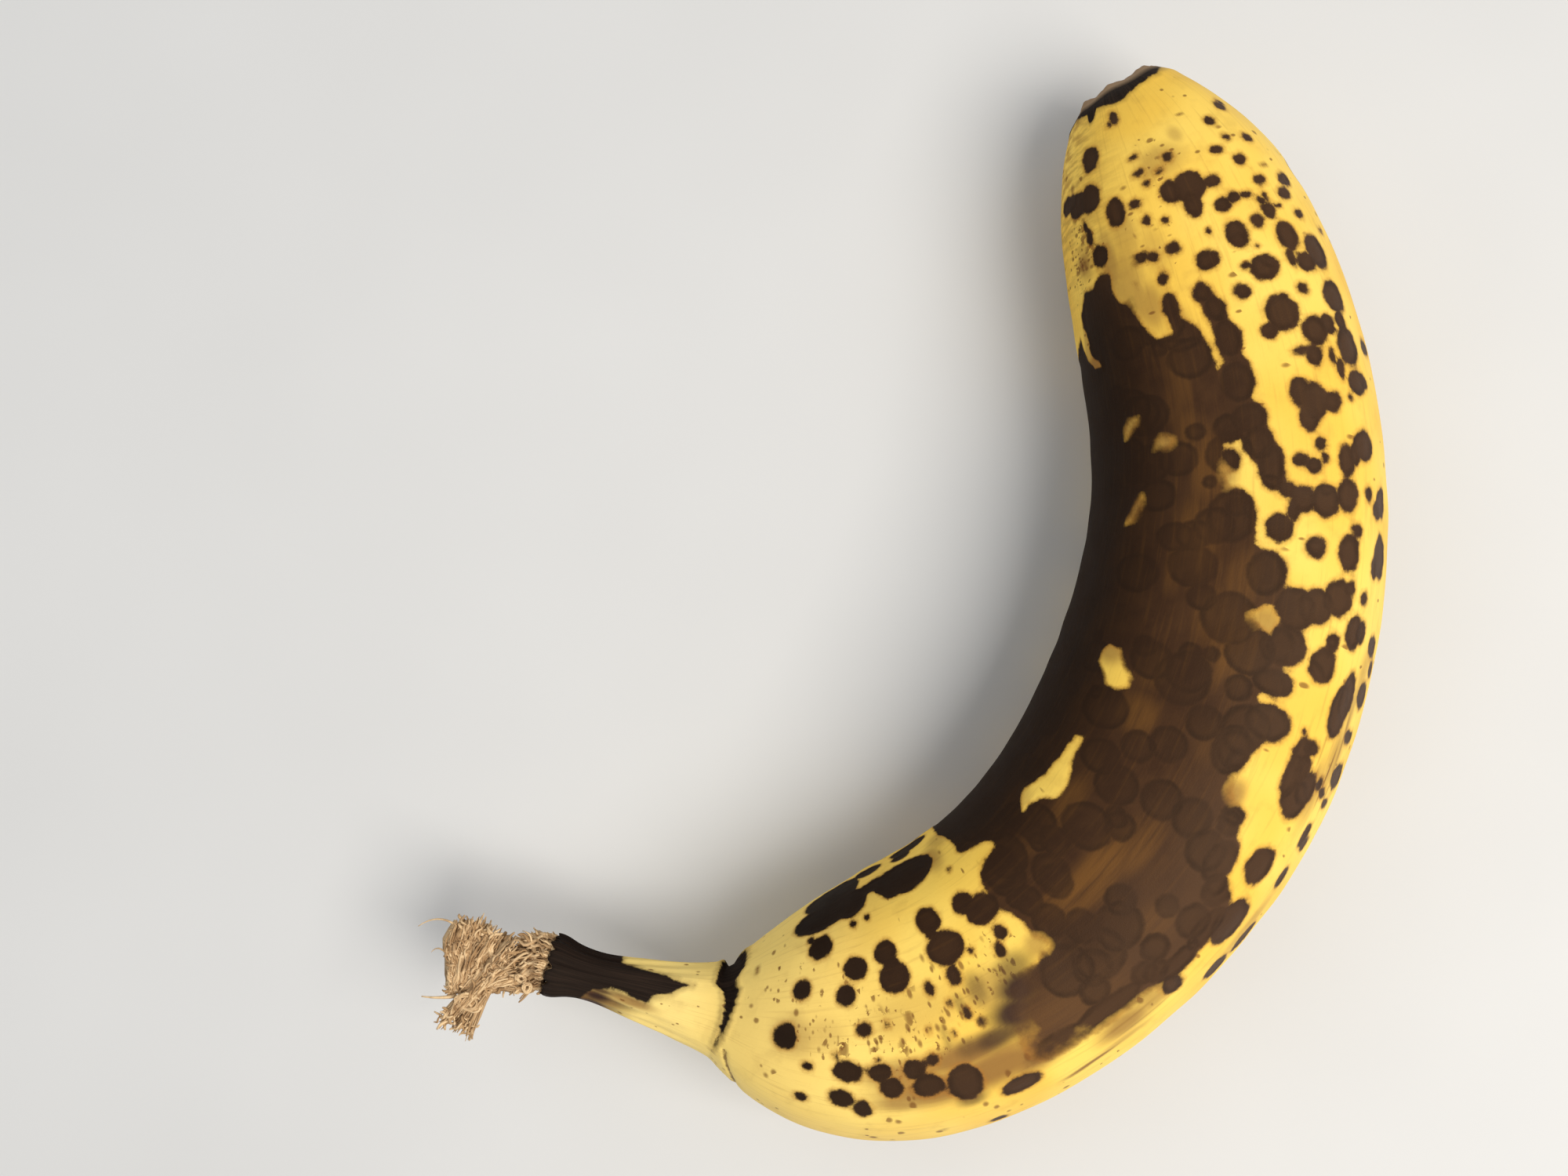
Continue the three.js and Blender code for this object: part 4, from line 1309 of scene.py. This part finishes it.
def make_camera():
    """The photo's view, straight down at the fruit."""
    data = bpy.data.cameras.new("camera")
    data.sensor_width = SENSOR
    data.lens = LENS
    data.clip_start = 0.01
    data.clip_end = 10.0
    camera = bpy.data.objects.new("camera", data)
    x, y = CAMERA_PLACE
    height = MIDDLE_HEIGHT + CAMERA_OVER_FRUIT
    camera.location = (np.array([x + OFFSET[0], y + OFFSET[1], height]) * MM).tolist()
    camera.rotation_euler = (0, 0, math.radians(-PHOTO_TURN))
    bpy.context.scene.collection.objects.link(camera)
    bpy.context.scene.camera = camera


def make_lamp(name, lamp_place, tint):
    """A square lamp aimed at the fruit's middle."""
    right_mm, up_mm, height_mm, size_mm, watts = lamp_place
    right, up = camera_directions()
    place = (right * right_mm + up * up_mm) * MM
    place[2] = height_mm * MM
    data = bpy.data.lights.new(name, "AREA")
    data.shape = "SQUARE"
    data.size = size_mm * MM
    data.energy = watts
    data.color = tint
    lamp = bpy.data.objects.new(name, data)
    lamp.location = place.tolist()
    back = place - np.array([0, 0, MIDDLE_HEIGHT * MM])
    lamp.rotation_euler = Vector(back.tolist()).to_track_quat("Z", "Y").to_euler()
    bpy.context.scene.collection.objects.link(lamp)


def make_stage():
    """A plain pale floor, an even sky and two soft lamps."""
    corners = np.array([[-1, -1, 0], [1, -1, 0], [1, 1, 0], [-1, 1, 0]]) * FLOOR_HALF
    floor = make_mesh("floor", corners, [(0, 1, 2, 3)], smooth=False)
    floor.location.z = -FLOOR_DROP
    n = Nodes("pale_floor")
    space = n.object_mm()
    tone = n.mix(n.noise(space, 0.02, 2.0), FLOOR_DULL, FLOOR_PALE)
    grain = n.bump(n.noise(space, 0.8), 0.02, 0.2)
    floor.data.materials.append(n.finish(tone, 0.75, grain))
    world = bpy.data.worlds.new("studio")
    world.use_nodes = True
    sky = world.node_tree.nodes["Background"]
    sky.inputs["Color"].default_value = SKY_TINT
    sky.inputs["Strength"].default_value = SKY_STRENGTH
    bpy.context.scene.world = world
    make_lamp("key", KEY_LAMP, KEY_TINT)
    make_lamp("fill", FILL_LAMP, FILL_TINT)


# ---- Put it together -----------------------------------------------------------------

bpy.context.scene.view_settings.view_transform = "Standard"
make_camera()
make_stage()

skin = make_skin()
skin.data.materials.append(peel_material())
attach(skin, "root")
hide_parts("banana")

fibres = make_fibres()
fibres.data.materials.append(fibre_material())
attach(fibres, "root")
